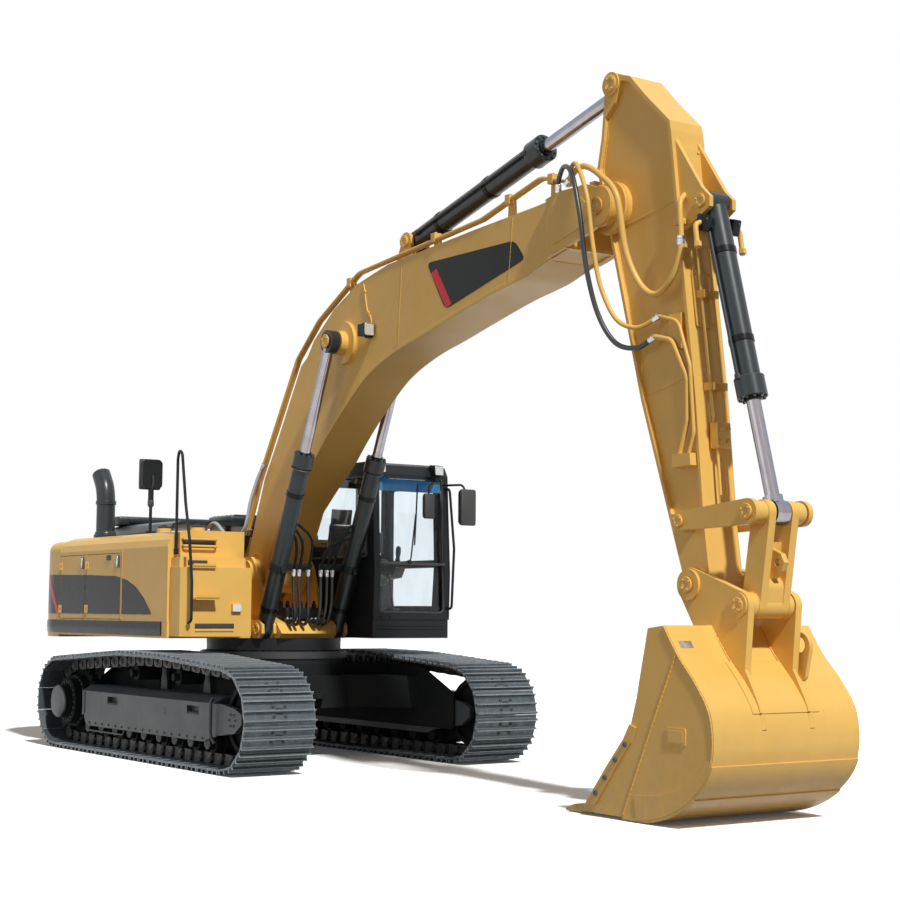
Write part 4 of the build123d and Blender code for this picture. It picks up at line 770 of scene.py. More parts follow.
def hose_ends(path, radius, length=0.07, both=True):
    """Crimped ferrule and hexagon nut at a hose's ends, turned about its own direction there."""
    path = np.asarray(path, float)
    skins = []
    for a, b in ((path[0], path[1]), (path[-1], path[-2]))[:2 if both else 1]:
        way = (b - a) / np.linalg.norm(b - a)
        r = radius
        skins.append(turned([(-0.002, r * 1.0), (length * 0.3, r * 1.05), (length * 0.34, r * 1.3),
                             (length * 0.9, r * 1.3), (length, r * 1.1)], a, way, 14))
        skins.append(turned([(0, r * 1.45), (length * 0.3, r * 1.45)], a, way, 6))
    return skins


class EXCAVATOR_OT_hoses(bpy.types.Operator):
    """Runs the oil hoses: over the boom's foot, to the boom's cylinders, and from its tip to the stick"""
    bl_idname = "excavator.hoses"
    bl_label = "Hoses"

    def hose(self, name, points, radius, bodies, finish, marks=None):
        path = curve_through(at(points), 9)
        skin = tube(path, radius, 14)
        ends = hose_ends(path, radius)
        if isinstance(bodies, str):
            add_piece(name, skin, bodies, finish)
            add_piece(name + "_ends", ends, bodies, "bare_metal")
            return
        first, last = bodies
        ob = add_piece(name, skin, None, finish)
        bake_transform(ob)
        add_piece(name + "_end_a", ends[:2], first, "bare_metal")
        add_piece(name + "_end_b", ends[2:], last, "bare_metal")

    def execute(self, context):
        thick = [(5380, -250, 5110), (5520, -290, 5175), (5760, -370, 5170), (5995, -392, 5039),
                 (6170, -375, 4840), (6225, -330, 4400), (6330, -275, 4120), (6480, -240, 4015),
                 (6640, -225, 4110), (6735, -218, 4290), (6752, -215, 4436)]
        upper_loop = [(5380, -212, 5110), (5500, -300, 5215), (5690, -392, 5190), (5850, -420, 4900),
                      (5905, -405, 4500), (5960, -370, 4150), (6080, -310, 3870), (6250, -250, 3780),
                      (6400, -206, 3820), (6470, -196, 3850)]
        lower_loop = [(5300, -279, 5052), (5330, -300, 5150), (5480, -360, 5225), (5660, -420, 5110),
                      (5790, -445, 4750), (5850, -425, 4300), (5930, -370, 3920), (6060, -300, 3680),
                      (6230, -230, 3620), (6360, -200, 3668), (6420, -196, 3690)]
        for name, route, r, finish in (("tip_hose_thick", thick, 0.026, "yellow_paint"),
                                       ("tip_hose_upper", upper_loop, 0.019, "yellow_paint"),
                                       ("tip_hose_lower", lower_loop, 0.021, "hose_rubber")):
            for side, word in ((1, "right"), (-1, "left")):
                pts = [(x, side * y, z) for x, y, z in route]
                self.hose(f"{name}_{word}", pts, r, ("boom", "stick"), finish, (2, -3))
        # steel ends of those hoses on the stick
        skins = []
        for side in (1, -1):
            line = rounded_path(at([(6752, side * -215, 4436), (6738, side * -212, 4600),
                                    (6725, side * -205, 4720), (6700, side * -120, 4790)]), 0.06)
            skins.append(tube(line, 0.022, 14))
            skins.append(round_block(at([(6700, side * -182, 4560)])[0], (0.09, 0.06, 0.05), 0.008))
        for x, z in ((6420, 3690), (6470, 3850)):
            line = rounded_path(at([(x, 196, z), (x + 190, 196, z - 50), (6770, 194, z - 420),
                                    (6760, 186, 3020), (6740, 150, 2920)]), 0.08)
            skins.append(tube(line, 0.017, 12))
        skins.append(round_block(at([(6765, 160, 3110)])[0], (0.14, 0.075, 0.06), 0.01))
        skins.append(round_block(at([(6640, 160, 3740)])[0], (0.12, 0.07, 0.22), 0.01))
        add_piece("stick_hose_ends", skins, "stick", "yellow_paint", bevel=0.002)

        # bundle in front of the boom's foot
        bar_at = np.array([853.0, 0, 1977.0])
        up = np.array([0.403018, 0, 0.915192])
        skins = []
        for i, y in enumerate((-250, -185, -75, 75, 150, 215)):
            out = -1 if y < 0 else 1
            reach = 330 + 70 * (i % 3)
            peak = bar_at + up * reach
            top = [(bar_at[0] + 4, y, bar_at[2]), (bar_at[0] + up[0] * 120, y, bar_at[2] + up[2] * 120),
                   (bar_at[0] + up[0] * reach * 0.7, y + out * 25, bar_at[2] + up[2] * reach * 0.7),
                   (peak[0], out * 310, peak[2]), (peak[0] + 5, out * 352, peak[2] + 10)]
            skins.append(tube(rounded_path(at(top), 0.12), 0.015, 12))
            low = [(844, y, 1950), (846, y, 1800), (850, y * 0.97, 1640), (838, y * 0.9, 1500),
                   (790, y * 0.85, 1400), (700, y * 0.8, 1385), (610, y * 0.75, 1440),
                   (570, y * 0.75, 1470)]
            self.hose(f"foot_hose_{i}", low[::-1], 0.017, ("upper", "boom_cylinder_barrels"), "hose_rubber",
                      (2, -2))
        add_piece("foot_tubes", skins, "boom_cylinder_barrels", "black_gloss")
        skins = []
        for low, high in ((-346, -40), (40, 346)):
            block = round_block((0, 0, 0), ((high - low) * 0.001, 0.014, 0.085), 0.004)
            m = np.eye(4)
            m[:3, 0], m[:3, 1], m[:3, 2] = (0, 1, 0), (-up[2], 0, up[0]), up
            m[:3, 3] = at([bar_at])[0] + (0, (low + high) / 2000, 0)
            skins.append(placed(block, m))
        for y in (-430, 430):
            foot = at([(853, y, 1977)])[0]
            skins.append(turned([(-0.042, 0.087), (-0.042, 0.097), (0.042, 0.097), (0.042, 0.087)], foot,
                                up, 32))
            skins.append(round_block(foot + np.array([0.09, 0, -0.04]), (0.05, 0.05, 0.07), 0.008))
        add_piece("foot_tube_bracket", skins, "boom_cylinder_barrels", "black_paint", bevel=0.002)
        skins = [round_block(at([(520, 0, 1500)])[0], (0.20, 0.46, 0.12), 0.015)]
        for y in np.linspace(-200, 200, 6):
            skins.append(turned([(0, 0.026), (0.05, 0.026), (0.052, 0.018), (0.075, 0.018)],
                                at([(500, y, 1555)])[0], (0, 0, 1), 6))
        add_piece("foot_manifold", skins, "upper", "black_paint", bevel=0.003)

        # over the boom's foot
        silver = [(-672, -470, 2346), (-650, -470, 2440), (-520, -455, 2470), (-330, -430, 2340),
                  (-150, -400, 2290), (0, -370, 2420), (60, -345, 2680), (150, -315, 2920),
                  (262, -292, 3085)]
        self.hose("silver_hose", silver, 0.021, ("upper", "boom"), "hose_braid", (3, -3))
        for y in (-250, -212, 212, 250):
            run = [(-662, y * 1.1, 2180), (-590, y * 1.1, 2180), (-470, y * 1.05, 2110), (-360, y, 2120),
                   (-270, y, 2230), (-190, y, 2405)]
            self.hose(f"rear_hose_{y + 250}", run, 0.020, ("upper", "boom"), "hose_rubber", (1, -2))
        return {"FINISHED"}


def bead(points, radius=0.006, gap=0.014):
    """Weld seam: a thin tube along the points whose radius ripples, r (1 + 0.25 sin 2.2 i) at ring i."""
    p = np.asarray(points, float)
    s = np.concatenate([[0], np.cumsum(np.linalg.norm(np.diff(p, axis=0), axis=1))])
    at_s = np.linspace(0, s[-1], max(3, int(s[-1] / gap)))
    path = np.stack([np.interp(at_s, s, p[:, k]) for k in range(3)], 1)
    return tube(path, radius * (1 + 0.25 * np.sin(2.2 * np.arange(len(path)))), 5)


def pin_cap(point, y, out, radius, bolts=3, proud=10):
    """Round retaining plate over a pin's end: a chamfered disc with a dished middle and a ring of bolts."""
    centre = at([(point[0], y, point[1])])[0]
    r, h = radius * 0.001, proud * 0.001
    skins = [turned([(-0.002, r), (h * 0.7, r), (h, r * 0.94), (h, r * 0.5), (h * 0.6, r * 0.42),
                     (h * 0.6, 0.001)], centre, (0, out, 0), 36)]
    for k in range(bolts):
        a = 0.6 + k * 2 * math.pi / bolts
        skins += bolt(centre + np.array([math.cos(a) * r * 0.72, out * h, math.sin(a) * r * 0.72]),
                      (0, out, 0), min(0.014, r * 0.14), 0.010, False)
    return skins


def ring_bead(centre, across, y, radius=0.006, count=60):
    """Weld seam round a boss, in millimetres: centre + across (cos a, sin a) in the side view, at y."""
    a = np.linspace(0, 2 * np.pi, count)
    x, z = centre
    return bead(on_side(np.stack([x + across * np.cos(a), z + across * np.sin(a)], 1), y), radius)


def both(skins):
    """The skins and their twins on the other side."""
    return skins + [mirrored(k) for k in skins]


class EXCAVATOR_OT_arm(bpy.types.Operator):
    """Adds pin plates, weld seams, the belly plate and gland bolts to the boom, stick and cylinders"""
    bl_idname = "excavator.arm"
    bl_label = "Arm fittings"

    def execute(self, context):
        upper = [(-120, 2160), (203, 2917), (479, 3319), (952, 4052), (1074, 4128), (1213, 4293),
                 (1597, 4557), (2053, 4755), (2608, 4862), (3358, 4907), (4055, 4948), (4982, 4992),
                 (5140, 5005)]
        lower = [(5136, 4514), (4955, 4468), (4226, 4349), (3720, 4243), (3188, 4131), (2739, 4063),
                 (2233, 3867), (1832, 3605), (1416, 3268), (1202, 3065), (591, 2587), (300, 2080)]
        welds = [bead(on_side([(x, z + 3) for x, z in upper], -224)),
                 bead(on_side(lower, -224) - (0, 0, 0.003))]
        for x in (2790, 4560):        # seams across the side plates, where two lengths of plate meet
            low = np.interp(x, [k[0] for k in lower[::-1]], [k[1] for k in lower[::-1]])
            high = np.interp(x, [k[0] for k in upper], [k[1] for k in upper])
            welds.append(bead(on_side([(x, low), (x + 60, high)], -250.5), 0.004))
        for pin, r, y in ((BOOM_ROD_PIN, 217, -251), (STICK_PIN, 168, -301), (BOOM_FOOT_PIN, 207, -251)):
            welds.append(ring_bead(pin, r, y))
        panel = softened([(5230, 4960), (5620, 4960), (5760, 4820), (5640, 4700), (5230, 4600)], 60)
        skins = [side_plate(panel, -303, 7)]
        add_piece("boom_welds", both(welds), "boom", "weld_bead", smooth=80)
        caps = pin_cap(STICK_PIN, -339, -1, 74, 4) + pin_cap(STICK_BARREL_PIN, -129, -1, 62, 3)
        caps += pin_cap(BOOM_ROD_PIN, -489, -1, 70, 3)
        add_piece("boom_pin_plates", both(caps + skins), "boom", "yellow_paint", bevel=0.0015)
        caps = pin_cap(BOOM_FOOT_PIN, -429, -1, 80, 4) + pin_cap(BOOM_BARREL_PIN, -527, -1, 62, 3)
        add_piece("foot_pin_plates", both(caps), "upper", "yellow_paint", bevel=0.0015)
        # bolts of the tube clamps, and the lamp's cable with its two clips
        skins = []
        for x, top in ((1900, 4800), (3400, 4995), (4560, 5135), (5170, 5197)):
            skins += bolt(at([(x, -231, top + 45)])[0], (0, 0, 1), 0.012, 0.012)
        add_piece("clamp_bolts", both(skins), "boom", "bare_metal")
        cable = rounded_path(on_side([(2318, 4300), (2318, 4390), (2240, 4470), (2170, 4745)], -257), 0.05)
        skins = [tube(cable, 0.007, 8)]
        for x, z in ((2262, 4448), (2190, 4668)):
            skins.append(round_block(at([(x, -258, z)])[0], (0.04, 0.02, 0.025), 0.004))
        add_piece("lamp_cable", skins, "boom", "yellow_paint")
        # the belly plate: one smooth bend under the boom, a little proud of the side plates
        belly = flowing([(5120, 4511), (4955, 4470), (4226, 4349), (3720, 4243), (3188, 4125), (2739, 4030),
                         (2233, 3850), (1832, 3590), (1416, 3260), (1202, 3062), (591, 2587), (420, 2300)],
                        120)
        n = outward(belly)
        drop = np.interp(np.arange(120), (0, 8, 104, 119), (4.0, 30.0, 30.0, 6.0))[:, None]
        rows = [np.insert(belly + n * (k * drop - m), 1, y, axis=1)
                for y, k, m in ((-252, 0, 12), (-252, 1, 0), (252, 1, 0), (252, 0, 12))]
        add_piece("boom_belly", sheet_of(at(np.stack(rows, 1)), close_cols=True, caps=True), "boom",
                  "yellow_paint", smooth=60, bevel=0.004)
        collars = [turned([(-.047, .062), (-.047, .114), (.047, .114), (.047, .062), (-.047, .062)],
                          on_side([BOOM_ROD_PIN], -430)[0], (0, 1, 0), 40)]
        add_piece("rod_eye_collars", both(collars), "boom_cylinder_rods", "barrel_paint")

        # stick
        recess = [(5905, 5700), (5985, 5868), (6075, 5840), (6275, 5640), (6543, 5388), (6561, 5316),
                  (6652, 4544), (6826, 3148), (6905, 2290), (6572, 2290), (6253, 3218), (5713, 5188),
                  (5768, 5424), (5790, 5600), (5905, 5700)]
        middle = np.mean(recess, axis=0)
        inner = [(x + 5 * np.sign(middle[0] - x), z) for x, z in recess]
        welds = [bead(on_side(inner, -134))]
        for z0, x0, x1 in ((4700, 5850, 6630), (3300, 6240, 6800)):
            welds.append(bead(on_side([(x0, z0 - 60), (x1, z0 + 60)], -132.5), 0.004))
        welds += [ring_bead(STICK_PIN, 217, -174), ring_bead(SIDE_LINK_PIN, 87, -134)]
        add_piece("stick_welds", both(welds), "stick", "weld_bead", smooth=80)
        caps = pin_cap(STICK_ROD_PIN, -186, -1, 74, 4) + pin_cap(BUCKET_BARREL_PIN, -149, -1, 56, 3)
        caps += pin_cap(SIDE_LINK_PIN, -305, -1, 52, 3)
        add_piece("stick_pin_plates", both(caps), "stick", "yellow_paint", bevel=0.0015)
        pad = softened([(-105, -230), (105, -230), (105, 230), (-105, 230)], 24) * 0.001
        skins = []
        for x, z, t in ((6648, 4960, 0.115), (6772, 3960, 0.126)):
            u, v = np.array([0, 1.0, 0]), np.array([-t, 0, 1.0]) / math.hypot(t, 1)
            skins.append(plate(pad, 0.012, at([(x, 0, z)])[0], u, v))
            w = np.cross(u, v)
            for du, dv in ((-0.08, -0.2), (0.08, -0.2), (-0.08, 0.2), (0.08, 0.2)):
                skins += bolt(at([(x, 0, z)])[0] + u * du + v * dv + w * 0.006, w, 0.011, 0.009)
        # valve block low on the front, with its ports
        skins.append(round_block(at([(6945, 0, 2880)])[0], (0.09, 0.14, 0.20), 0.012))
        for y in (-40, 40):
            for z in (2830, 2930):
                skins += bolt(at([(6990, y, z)])[0], (1, 0, 0), 0.016, 0.016)
        add_piece("stick_front_fittings", skins, "stick", "yellow_paint", bevel=0.0015)

        # cylinders: gland bolts, wiper rings and bands; gland and bands are millimetres from the foot's pin
        def cylinder(name, foot, eye, gland, radius, rod, ys, barrel_body, bands, barrel):
            foot, eye = np.asarray(foot, float), np.asarray(eye, float)
            way = (eye - foot) / np.linalg.norm(eye - foot)
            axis = np.array([way[0], 0, way[1]])
            side = np.array([-way[1], 0, way[0]])
            metal, black = [], []
            for y in ys:
                mouth = at([(foot[0] + way[0] * gland, y, foot[1] + way[1] * gland)])[0]
                for a in np.arange(10) * 2 * math.pi / 10:
                    where = mouth + (side * math.cos(a) + np.array([0, math.sin(a), 0])) * radius * 0.82
                    metal.append(turned([(-0.001, .012), (0.012, .012), (0.014, 0.009)], where, axis, 6))
                black.append(turned([(-0.002, rod * 1.28), (0.016, rod * 1.25), (0.024, rod * 1.08),
                                     (0.024, rod * 1.005)], mouth, axis, 32))
                for reach in bands:
                    c = at([(foot[0] + way[0] * reach, y, foot[1] + way[1] * reach)])[0]
                    black.append(turned([(-0.024, barrel - 0.001), (-0.024, barrel + 0.007),
                                         (0.024, barrel + 0.007), (0.024, barrel - 0.001)], c, axis, 36))
                c = at([(foot[0] + way[0] * (gland - 155), y, foot[1] + way[1] * (gland - 155))])[0]
                metal.append(turned([(-0.004, radius * 0.985), (0.0, radius * 1.015),
                                     (0.004, radius * 0.985)], c, axis, 36))
            if name.startswith("bucket"):
                # port blocks on both flanks near the foot, each with an elbow
                elbows = []
                for out in (-1, 1):
                    c = at([(foot[0] + way[0] * 190, 0, foot[1] + way[1] * 190)])[0] + (0, out * 0.150, 0)
                    black.append(tilted(round_block((0, 0, 0), (0.10, 0.085, 0.13), 0.012), c, 0.25))
                    metal += bolt(c + np.array([0.052, out * 0.02, 0.02]), (1, 0, 0), 0.010, 0.008, False)
                    bend = rounded_path(np.array([c + (0, out * .03, 0), c + (-.01, out * .085, -.02),
                                                  c + (.02, out * .085, -.21)]), 0.05)
                    elbows.append(tube(bend, 0.021, 12))
                    nut = bend[-1] + (0, 0, .03)
                    elbows.append(turned([(-.02, .020), (-.02, .030), (.02, .030), (.02, .020)], nut,
                                         (.1, 0, -1), 6))
                add_piece("port_elbows", elbows, barrel_body, "yellow_paint")
            add_piece(name + "_gland_bolts", metal, barrel_body, "link_iron")
            add_piece(name + "_bands", black, barrel_body, "black_gloss")

        cylinder("boom_cylinder", BOOM_BARREL_PIN, BOOM_ROD_PIN, 1935, 0.106, 0.0525, (-430, 430),
                 "boom_cylinder_barrels", (240, 1500), 0.088)
        cylinder("stick_cylinder", STICK_BARREL_PIN, STICK_ROD_PIN, 2128, 0.126, 0.060, (0,),
                 "stick_cylinder_barrel", (500, 1300), 0.100)
        cylinder("bucket_cylinder", BUCKET_BARREL_PIN, BUCKET_ROD_PIN, 1614, 0.116, 0.055, (0,),
                 "bucket_cylinder_barrel", (420, 1150), 0.092)
        return {"FINISHED"}


def flowing(points, count):
    """A smooth curve through flat points: cubic Hermite pieces over the running chord length, whose slopes
    are the central differences of the points."""
    p = np.asarray(points, float)
    t = np.concatenate([[0], np.cumsum(np.linalg.norm(np.diff(p, axis=0), axis=1))])
    slope = np.gradient(p, t, axis=0)
    q = np.linspace(0, t[-1], count)
    i = np.clip(np.searchsorted(t, q, side="right") - 1, 0, len(t) - 2)
    w = (t[i + 1] - t[i])[:, None]
    f = ((q - t[i])[:, None]) / w
    return ((2 * f ** 3 - 3 * f ** 2 + 1) * p[i] + (f ** 3 - 2 * f ** 2 + f) * w * slope[i]
            + (3 * f ** 2 - 2 * f ** 3) * p[i + 1] + (f ** 3 - f ** 2) * w * slope[i + 1])


def laid_over(path, y0, y1, lift, under=12.0):
    """A cover laid on the bucket's shell: the path in x and z is pushed out along its normal by the lift,
    its underside in by a fixed depth, and both run from y0 to y1. It stays inside the part's own box."""
    n = outward(path)
    rows = []
    for y, k in ((y0, -under), (y0, lift), (y1, lift), (y1, -under)):
        q = path + n * k
        rows.append(np.stack([np.minimum(q[:, 0], 7630), np.full(len(q), y), np.maximum(q[:, 1], 10)], 1))
    return sheet_of(at(np.stack(rows, 1)), close_cols=True, caps=True)


class EXCAVATOR_OT_bucket(bpy.types.Operator):
    """Adds the smooth back, weld seams, wear plates, bolts and tooth adapters to the bucket and its links"""
    bl_idname = "excavator.bucket"
    bl_label = "Bucket fittings"

    def execute(self, context):
        back = flowing([(7124, 1436), (7279, 1222), (7466, 1022), (7601, 817), (7626, 693), (7630, 610),
                        (7585, 423), (7434, 243), (7218, 113), (6944, 34), (6647, 24)], 90)
        add_piece("bucket_back", laid_over(back, -736.5, 736.5, 2), "bucket", "yellow_paint", smooth=50)
        heel, sole = back[back[:, 1] < 470], back[back[:, 1] < 235]
        skins = [laid_over(heel, -739, 739, 13), laid_over(sole, -741, 741, 22)]
        skins.append(laid_over(back[(back[:, 1] < 1190) & (back[:, 1] > 800)], -335, 335, 9))
        # gussets below the ears, standing 100 mm proud at the top and running out to 20 mm
        rib = back[(back[:, 1] < 1180) & (back[:, 1] > 812)]
        crest = rib + outward(rib) * (20 + 80 * np.linspace(1, 0, len(rib))[:, None] ** 1.6)
        crest[:, 0] = np.minimum(crest[:, 0], 7629)
        for y in (-242, 242):
            skins.append(side_plate(np.vstack([rib, crest[::-1]]), y - 14, 28))
        rim = back[(back[:, 1] < 505) & (back[:, 0] > 6790)]
        inner = flowing([(6790, 196), (7077, 225), (7394, 337), (7572, 505)], 24)
        side_wear = side_plate(np.vstack([rim, inner]), -739, 8)
        skins.append(side_wear)
        skins.append(mirrored(side_wear))
        add_piece("bucket_wear_plates", skins, "bucket", "yellow_paint", smooth=35)
        welds = [bead(on_side([(x - 11, z) for x, z in back[:60:3]], -738), 0.007)]
        for y in (-206, -278):
            welds.append(bead(on_side([(6985, 1428), (7120, 1440), (7279, 1232), (7440, 1060)], y), 0.006))
        welds.append(bead(on_side([(7240, 1223), (7050, 845), (6859, 458), (6656, 40)], -738), 0.009))
        add_piece("bucket_welds", both(welds), "bucket", "yellow_paint", smooth=80)
        plates = [side_plate(softened([(7135, 585), (7345, 585), (7345, 712), (7135, 712)], 16), -739, 8),
                  side_plate(softened([(7160, 606), (7320, 606), (7320, 692), (7160, 692)], 8), -744, 4)]
        add_piece("bucket_blank_plate", plates, "bucket", "yellow_paint")
        small = [plate(softened([(-62, -30), (62, -30), (62, 30), (-62, 30)], 8) * 0.001, 0.005,
                       at([(7222, -620, 1304)])[0], (0, 1, 0), (-0.587, 0, 0.81))]
        add_piece("bucket_small_plate", small, "bucket", "bare_metal")
        bolts = []
        for x, z in ((6330, 178), (6440, 300), (6560, 440), (6670, 560)):
            bolts += bolt(at([(x + 26, -751, z)])[0], (0, -1, 0), 0.018, 0.014)
        add_piece("cutter_bolts", both(bolts), "bucket", "link_iron")
        # adapters that hold the teeth over the lip, each a wedge on both faces with its pin
        skins, pins = [], []
        for i in range(5):
            y = (i - 2) * 325
            wedge = [(6180, 70), (6250, 96), (6420, 92), (6520, 74), (6520, 62), (6170, 62)]
            skins.append(plate(np.asarray(wedge) * 0.001, 0.11, (SWING_X, y * 0.001, 0)))
            for out in (-1, 1):
                pins.append(turned([(0, .016), (.006, .016), (.008, .010)], at([(6170, y + out * 47, 46)])[0],
                                   (0, out, 0), 14))
        add_piece("tooth_adapters", skins, "bucket", "tooth_steel", bevel=0.006)
        add_piece("tooth_pins", pins, "bucket", "link_iron")
        caps = pin_cap(BUCKET_PIN, -307, -1, 62, 4) + pin_cap(POWER_LINK_PIN, -283, -1, 58, 4)
        add_piece("bucket_pin_plates", both(caps), "bucket", "yellow_paint", bevel=0.0015)
        add_piece("link_pin_plates", both(pin_cap(BUCKET_ROD_PIN, -305, -1, 60, 3)), "side_links",
                  "yellow_paint", bevel=0.0015)
        welds = [ring_bead(BUCKET_ROD_PIN, 86, -152, 0.005, 50),
                 ring_bead(POWER_LINK_PIN, 98, -152, 0.005, 50)]
        add_piece("power_link_welds", both(welds), "power_link", "weld_bead", smooth=80)
        return {"FINISHED"}


class EXCAVATOR_OT_undercarriage(bpy.types.Operator):
    """Adds the drive covers, step treads, frame caps, roller bolts, guards and bearing bolts"""
    bl_idname = "excavator.undercarriage"
    bl_label = "Undercarriage fittings"

    def execute(self, context):
        grey, iron, light = [], [], []
        hub = at([(-2020, -1595, 504)])[0]
        light.append(turned([(-0.002, .180), (0.020, .180), (0.036, .165), (0.046, .120), (0.050, .0)], hub,
                            (0, -1, 0), 48))
        for r, count, y, size in ((0.212, 20, -1511, 0.015), (0.268, 24, -1416, 0.014)):
            for a in np.arange(count) * 2 * math.pi / count:
                iron.extend(bolt(at([(-2020 + r * 1000 * math.cos(a), y, 504 + r * 1000 * math.sin(a))])[0],
                                 (0, -1, 0), size, 0.012, False))
        # treads of seven bars on a plate, let into the steps, and a plain cover plate
        for x in (-755, 1141):
            for k in range(7):
                grey.append(round_block(at([(x - 105 + 35 * k, -1505, 536)])[0], (0.012, 0.028, 0.014),
                                        0.003))
            grey.append(round_block(at([(x, -1502, 526)])[0], (0.24, 0.03, 0.008), 0.003))
        light.append(side_plate(softened([(455, 482), (521, 482), (521, 550), (455, 550)], 8), -1520.6, 2))
        for x in np.arange(-1360, 1361, 170):
            iron.extend(bolt(at([(x, -1520, 300)])[0], (0, -1, 0), 0.013, 0.010, False))
        for x in (-1490, 1540):
            grey.append(bead(on_side([(x, 392), (x, 632)], -1520), 0.009, 0.03))
        # pipe guard in front of the side frame, and a low grab bar
        guard = rounded_path(at([(1600, -1535, 690), (1600, -1562, 660), (1600, -1562, 340),
                                 (1640, -1535, 270)]), 0.05)
        iron.append(tube(guard, 0.016, 10))
        bar = rounded_path(at([(-1330, -1528, 262), (-1330, -1540, 222), (-430, -1540, 222),
                               (-430, -1528, 262)]), 0.04)
        iron.append(tube(bar, 0.009, 8))
        # dark guard walls inside the tracks, with two plain rings and slots; their near-black paint is partly
        # the undercarriage's colour and partly painted shade inside the tracks
        wall = softened([(-2150, 330), (1900, 330), (1900, 700), (1300, 965), (-1600, 965), (-2150, 760)], 60)
        guards = [side_plate(wall, -1050, 10)]
        for x in (-620, 60):
            guards.append(ring_bead((x, 850), 48, -1057, 0.006, 33))
        for x in (-300, 380):
            guards.append(round_block(at([(x, -1057, 850)])[0], (0.12, 0.012, 0.02), 0.005))
        add_piece("inner_guards", both(guards), "undercarriage", "grey_paint")
        # roller ends and idler yoke: a roller's middle is up by the shoe and pin, the link's rail, a
        # millimetre of play and its own radius
        z = 106.3 + 52 + 1 + 95
        for i in range(9):
            x = (i - 4) * 357.5
            c = at([(x, -1496, z)])[0]
            iron.append(turned([(-0.004, .060), (0.010, .056), (0.012, .030), (0.006, .024), (0.006, .0)], c,
                               (0, -1, 0), 20))
        for a in np.arange(6) * math.pi / 3:
            iron.extend(bolt(at([(1960 + 60 * math.cos(a), -1520, 500 + 60 * math.sin(a))])[0], (0, -1, 0),
                             0.014, 0.011))
        add_piece("drive_covers", both(light), "undercarriage", "frame_grey", bevel=0.0)
        add_piece("frame_fittings", both(grey), "undercarriage", "frame_grey")
        add_piece("undercarriage_bolts", both(iron), "undercarriage", "link_iron")
        ring = []
        for a in np.arange(36) * 2 * math.pi / 36:
            ring += bolt(at([(745 * math.cos(a), 745 * math.sin(a), 1105)])[0] - (0, 0, 0.001), (0, 0, 1),
                         0.013, 0.003, False)
        add_piece("ring_bolts", ring, "undercarriage", "link_iron")
        # a rubber skirt round the bearing
        skirt = turned([(1.098, .772), (1.098, .784), (1.030, .790), (1.030, .772)], (SWING_X, 0, 0),
                       (0, 0, 1), 96)
        add_piece("bearing_skirt", skirt, "undercarriage", "rubber")
        return {"FINISHED"}


def strap(points, width, thick, across=(0, 1, 0)):
    """A flat strip along a path: at each point a rectangle, width along one fixed direction and thick along
    the path's normal to it."""
    p, t, _n, _b = frames_along(points)
    across = np.asarray(across, float)
    n = np.cross(t, across)
    n /= np.linalg.norm(n, axis=1, keepdims=True)
    corner = [(-.5, -.5), (.5, -.5), (.5, .5), (-.5, .5)]
    return sheet_of(np.stack([p + across * width * a + n * thick * b for a, b in corner], 1),
                    close_cols=True, caps=True)


def treads(x, y0, y1, z, teeth=16):
    """A step with a saw-toothed front edge: the edge's height is z plus a triangle wave along Y."""
    k = np.arange(teeth * 2 + 1)
    y = y0 + (y1 - y0) * k / k[-1]
    top = z + 12.0 * (k % 2)
    front = np.stack([np.full(len(k), float(x)), y, top], 1)
    low = front * (1, 1, 0) + (0, 0, z - 16)
    rows = [front, low, low + (8, 0, 0), front + (8, 0, 0)]
    return sheet_of(at(np.stack(rows, 1)), close_cols=True, caps=True)


